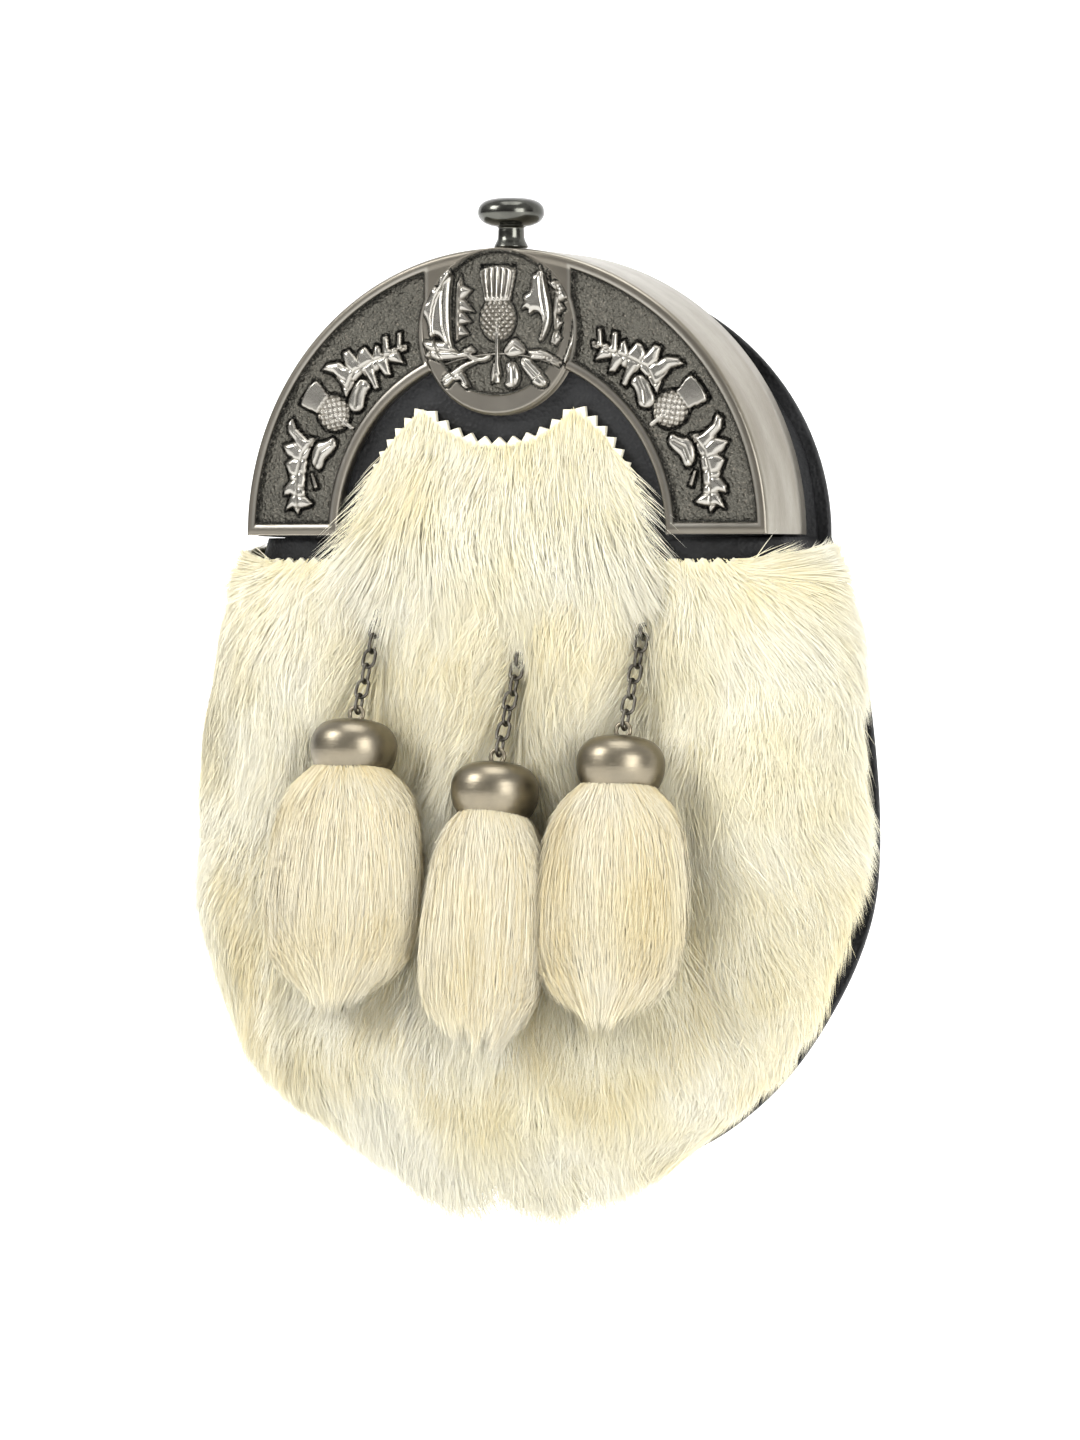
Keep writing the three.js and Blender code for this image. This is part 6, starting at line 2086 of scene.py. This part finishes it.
    def build_band(self, leather: Material) -> None:
        """Makes the band of the side wall behind the cantle's skirt.

        Args:
            leather: the leather's finish.
        """
        tuck, gap, rear = 9.0, 0.3, 10.0
        angle, t = np.linspace(-0.02, math.pi + 0.02, 120)[:, None], np.linspace(0.0, 1.0, 14)[None, :]
        wide = self.lining + (float(self.pouch.table[-1, 0]) - self.lining) * t
        tall = self.lining + (self.rise - self.lining) * t
        sag = 0.7 * np.sin(math.pi * t) + 0.25 * np.sin(14.0 * angle)
        depth = -rear + gap + (rear - self.pouch.leather - 2 * gap) * t
        start = joined(self.lining * np.cos(angle), -rear - tuck, self.lining * np.sin(angle))
        band = joined((wide - sag) * np.cos(angle), depth, (tall - sag) * np.sin(angle))
        outer = np.concatenate([start, band], 1)
        inner = outer - unit(outer * np.array([1.0, 0.0, 1.0])) * self.pouch.leather
        points = np.concatenate([outer, inner[:, ::-1]], 1)
        size = points.shape[:2]
        faces = [grid_faces(*size, wrap=True), *folded_ends(*size)]
        make_piece("gusset_band", points.reshape(-1, 3), faces, leather, ["gusset"])

    def build_front(self, leather: Material) -> None:
        """Makes the half disc of the front panel behind the cantle's face.

        Args:
            leather: the leather's finish.
        """
        rings, columns, front = 20, 140, -37.2
        r, a = np.linspace(0.0, 1.0, rings)[:, None], np.linspace(0.0, math.pi, columns)[None, :]
        x, z = self.lining * r * np.cos(a), self.lining * r * np.sin(a)
        z = z - 3.5 * (1.0 - r) - 0.2
        swell = 0.35 * SoftNoise(73, 16.0).at(np.stack([x, z], -1))
        y = front + set_back(x)
        face, rear = joined(x, y - np.minimum(swell, 0.05), z), joined(x, y + self.pouch.leather, z)
        points = np.concatenate([face.reshape(-1, 3), rear.reshape(-1, 3)])
        faces = sheet_faces(rings, columns, False)
        make_piece("front_leather", points, faces, leather, ["front_panel"])


# studio

@dataclass
class Studio:
    """The pale paper sweep, soft lights and the camera.

    Attributes:
        azimuth: the camera's angle round the object, in degrees.
        height: the camera's angle above it, in degrees.
        distance: how far the camera stands from its target, in metres.
        lens: the camera's focal length in millimetres.
        target: what the camera looks at, in metres.
        floor: the floor's height in metres.
    """

    azimuth: float = 24.0
    height: float = 1.5
    distance: float = 1.5
    lens: float = 142.25
    target: Triple = (-0.0059, 0.0, -0.0666)
    floor: float = -0.245

    def build_camera(self) -> None:
        """Sets the camera at the photograph's angle."""
        a, e = math.radians(self.azimuth), math.radians(self.height)
        back = Vector((math.sin(a) * math.cos(e), -math.cos(a) * math.cos(e), math.sin(e)))
        camera = bpy.data.cameras.new("camera")
        camera.lens, camera.sensor_width = self.lens, 36.0
        camera.clip_start, camera.clip_end = 0.05, 60.0
        stand = show("camera", camera)
        stand.location = Vector(self.target) + back * self.distance
        stand.rotation_euler = back.to_track_quat("Z", "Y").to_euler()
        bpy.context.scene.camera = stand

    def light(self, name: str, place: Triple, size: float, power: float) -> None:
        """Hangs a square soft light that faces the object.

        Args:
            name: the light's name.
            place: where it hangs, in metres.
            size: the length of its sides, in metres.
            power: its power in watts.
        """
        lamp = bpy.data.lights.new(name, "AREA")
        lamp.shape, lamp.size, lamp.energy = "SQUARE", size, power
        stand = show(name, lamp)
        stand.location = place
        aim = Vector(place) - Vector((0.0, 0.0, -0.07))
        stand.rotation_euler = aim.to_track_quat("Z", "Y").to_euler()

    def build_sweep(self) -> None:
        """Hangs a pale paper sweep that is the floor and curves up behind as the backdrop."""
        bend = [(math.sin(t), 1.0 - math.cos(t)) for t in np.linspace(0.0, math.pi / 2, 24)]
        start, radius = 1.2, 1.6
        curve = [(start + radius * a, radius * b) for a, b in bend[1:]]
        line = [(-9.0, 0.0), (start, 0.0), *curve, (start + radius, 9.0)]
        points = [(x, y, self.floor + z) for y, z in line for x in (-9.0, 9.0)]
        faces = [(2 * k, 2 * k + 1, 2 * k + 3, 2 * k + 2) for k in range(len(line) - 1)]
        mesh = bpy.data.meshes.new("paper_sweep")
        mesh.from_pydata(points, [], faces)
        mesh.polygons.foreach_set("use_smooth", [True] * len(faces))
        r = Recipe("white_paper")
        r.finish(Base_Color=(0.93, 0.93, 0.93), Roughness=0.95)
        r.surface.inputs["Emission Color"].default_value = (1.0, 1.0, 1.0, 1.0)
        r.surface.inputs["Emission Strength"].default_value = 0.62
        mesh.materials.append(r.material)
        show("paper_sweep", mesh)

    def build_world(self) -> None:
        """Fills the room with soft light that is bright above and dim round the front."""
        world = bpy.data.worlds.new("room")
        world.use_nodes = True
        tree = world.node_tree
        background = tree.nodes["Background"]
        where = tree.nodes.new("ShaderNodeTexCoord").outputs["Generated"]
        parts = tree.nodes.new("ShaderNodeSeparateXYZ")
        tree.links.new(where, parts.inputs[0])
        ramp = tree.nodes.new("ShaderNodeValToRGB")
        tree.links.new(parts.outputs[2], ramp.inputs[0])
        band = ramp.color_ramp.elements
        band[0].position, band[0].color = 0.0, (0.16, 0.155, 0.15, 1.0)
        band[1].position, band[1].color = 0.55, (1.0, 1.0, 1.0, 1.0)
        tree.links.new(ramp.outputs[0], background.inputs["Color"])
        background.inputs["Strength"].default_value = 0.71
        bpy.context.scene.world = world

    def build(self) -> None:
        """Builds the whole studio."""
        self.build_camera()
        self.build_sweep()
        self.build_world()
        self.light("key", (-0.95, -1.05, 0.85), 0.7, 20.0)
        self.light("fill", (1.25, -0.95, 0.25), 0.8, 16.0)
        self.light("top", (0.1, -0.25, 1.3), 0.9, 11.0)
        bpy.context.scene.view_settings.view_transform = "Standard"


# the whole sporran

HANGS = (
    Hang(Side.LEFT, (-31.859, -44.202, -21.385), -28.105, (-31.859, -57.355, -46.013), 1.0, 1.0,
         (0.95, 0.99, 1.0, 1.0, 0.98, 0.95)),
    Hang(Side.MIDDLE, (8.880, -46.187, -31.866), -28.868, (8.880, -59.667, -56.317), 0.77, 1.02,
         (0.82, 0.93, 0.88, 0.97, 0.9, 1.0)),
    Hang(Side.RIGHT, (42.340, -44.033, -24.673), -27.825, (42.340, -57.065, -49.364), 0.93, 1.0,
         (0.88, 0.97, 1.0, 0.95, 1.0, 0.9)),
)


def main() -> None:
    """Builds and dresses each part of the sporran in turn."""
    logging.basicConfig(level=logging.INFO, format="%(message)s")
    pewter = CastPewter().make()
    knob_metal = TurnedMetal("knob_metal", (0.10, 0.10, 0.088), (0.045, 0.045, 0.04), 0.14).make()
    cup_metal = TurnedMetal("cup_metal", (0.23, 0.20, 0.145), (0.19, 0.168, 0.125), 0.29, 0.7).make()
    chain_metal = TurnedMetal("chain_wire", (0.13, 0.12, 0.10), (0.05, 0.046, 0.04), 0.28).make()
    leather = BlackLeather().make()
    thread = BlackLeather((0.03, 0.03, 0.032), (0.06, 0.06, 0.064)).make()
    # the fur's and the tassels' root colours are partly painted warm shade deep in the coat
    fur = FurFinish(
        "cream_fur", (0.885, 0.82, 0.565), (0.94, 0.90, 0.725), (0.97, 0.945, 0.82), (0.97, 0.93, 0.79),
    ).make()
    tassel_fur = FurFinish(
        "tassel_fur", (0.84, 0.76, 0.555), (0.90, 0.84, 0.66), (0.93, 0.885, 0.735), (0.97, 0.93, 0.80),
    ).make()
    # the undercoat and the tassels' hearts are coloured darker than the hair, as painted shade of the coat's
    # depth
    undercoat = UndercoatShadeFinish("undercoat").make()
    shaded_tassel_heart = UndercoatShadeFinish("shaded_tassel_heart", (0.77, 0.72, 0.57), (0.70, 0.63, 0.46)).make()

    Studio().build()
    cantle = Cantle()
    cantle.build_arch(pewter)
    cantle.build_medallion(pewter)
    Knob().build(cantle, knob_metal)
    pouch = Pouch()
    work = LeatherWork(pouch)
    work.build_walls(leather)
    work.build_band(leather)
    work.build_front(leather)
    work.build_back(leather, thread)
    work.build_flap(leather, thread, cup_metal)
    work.build_loops(leather, thread)
    Pelt(pouch, HANGS).build(fur, undercoat)
    for number, hang in enumerate(HANGS):
        tassel = Tassel(hang)
        tassel.build_chain(chain_metal)
        tassel.build_cup(cup_metal)
        tassel.build_core(shaded_tassel_heart)
        tassel.build_hair(tassel_fur, 100 + 20 * number)


if __name__ == "__main__":
    main()
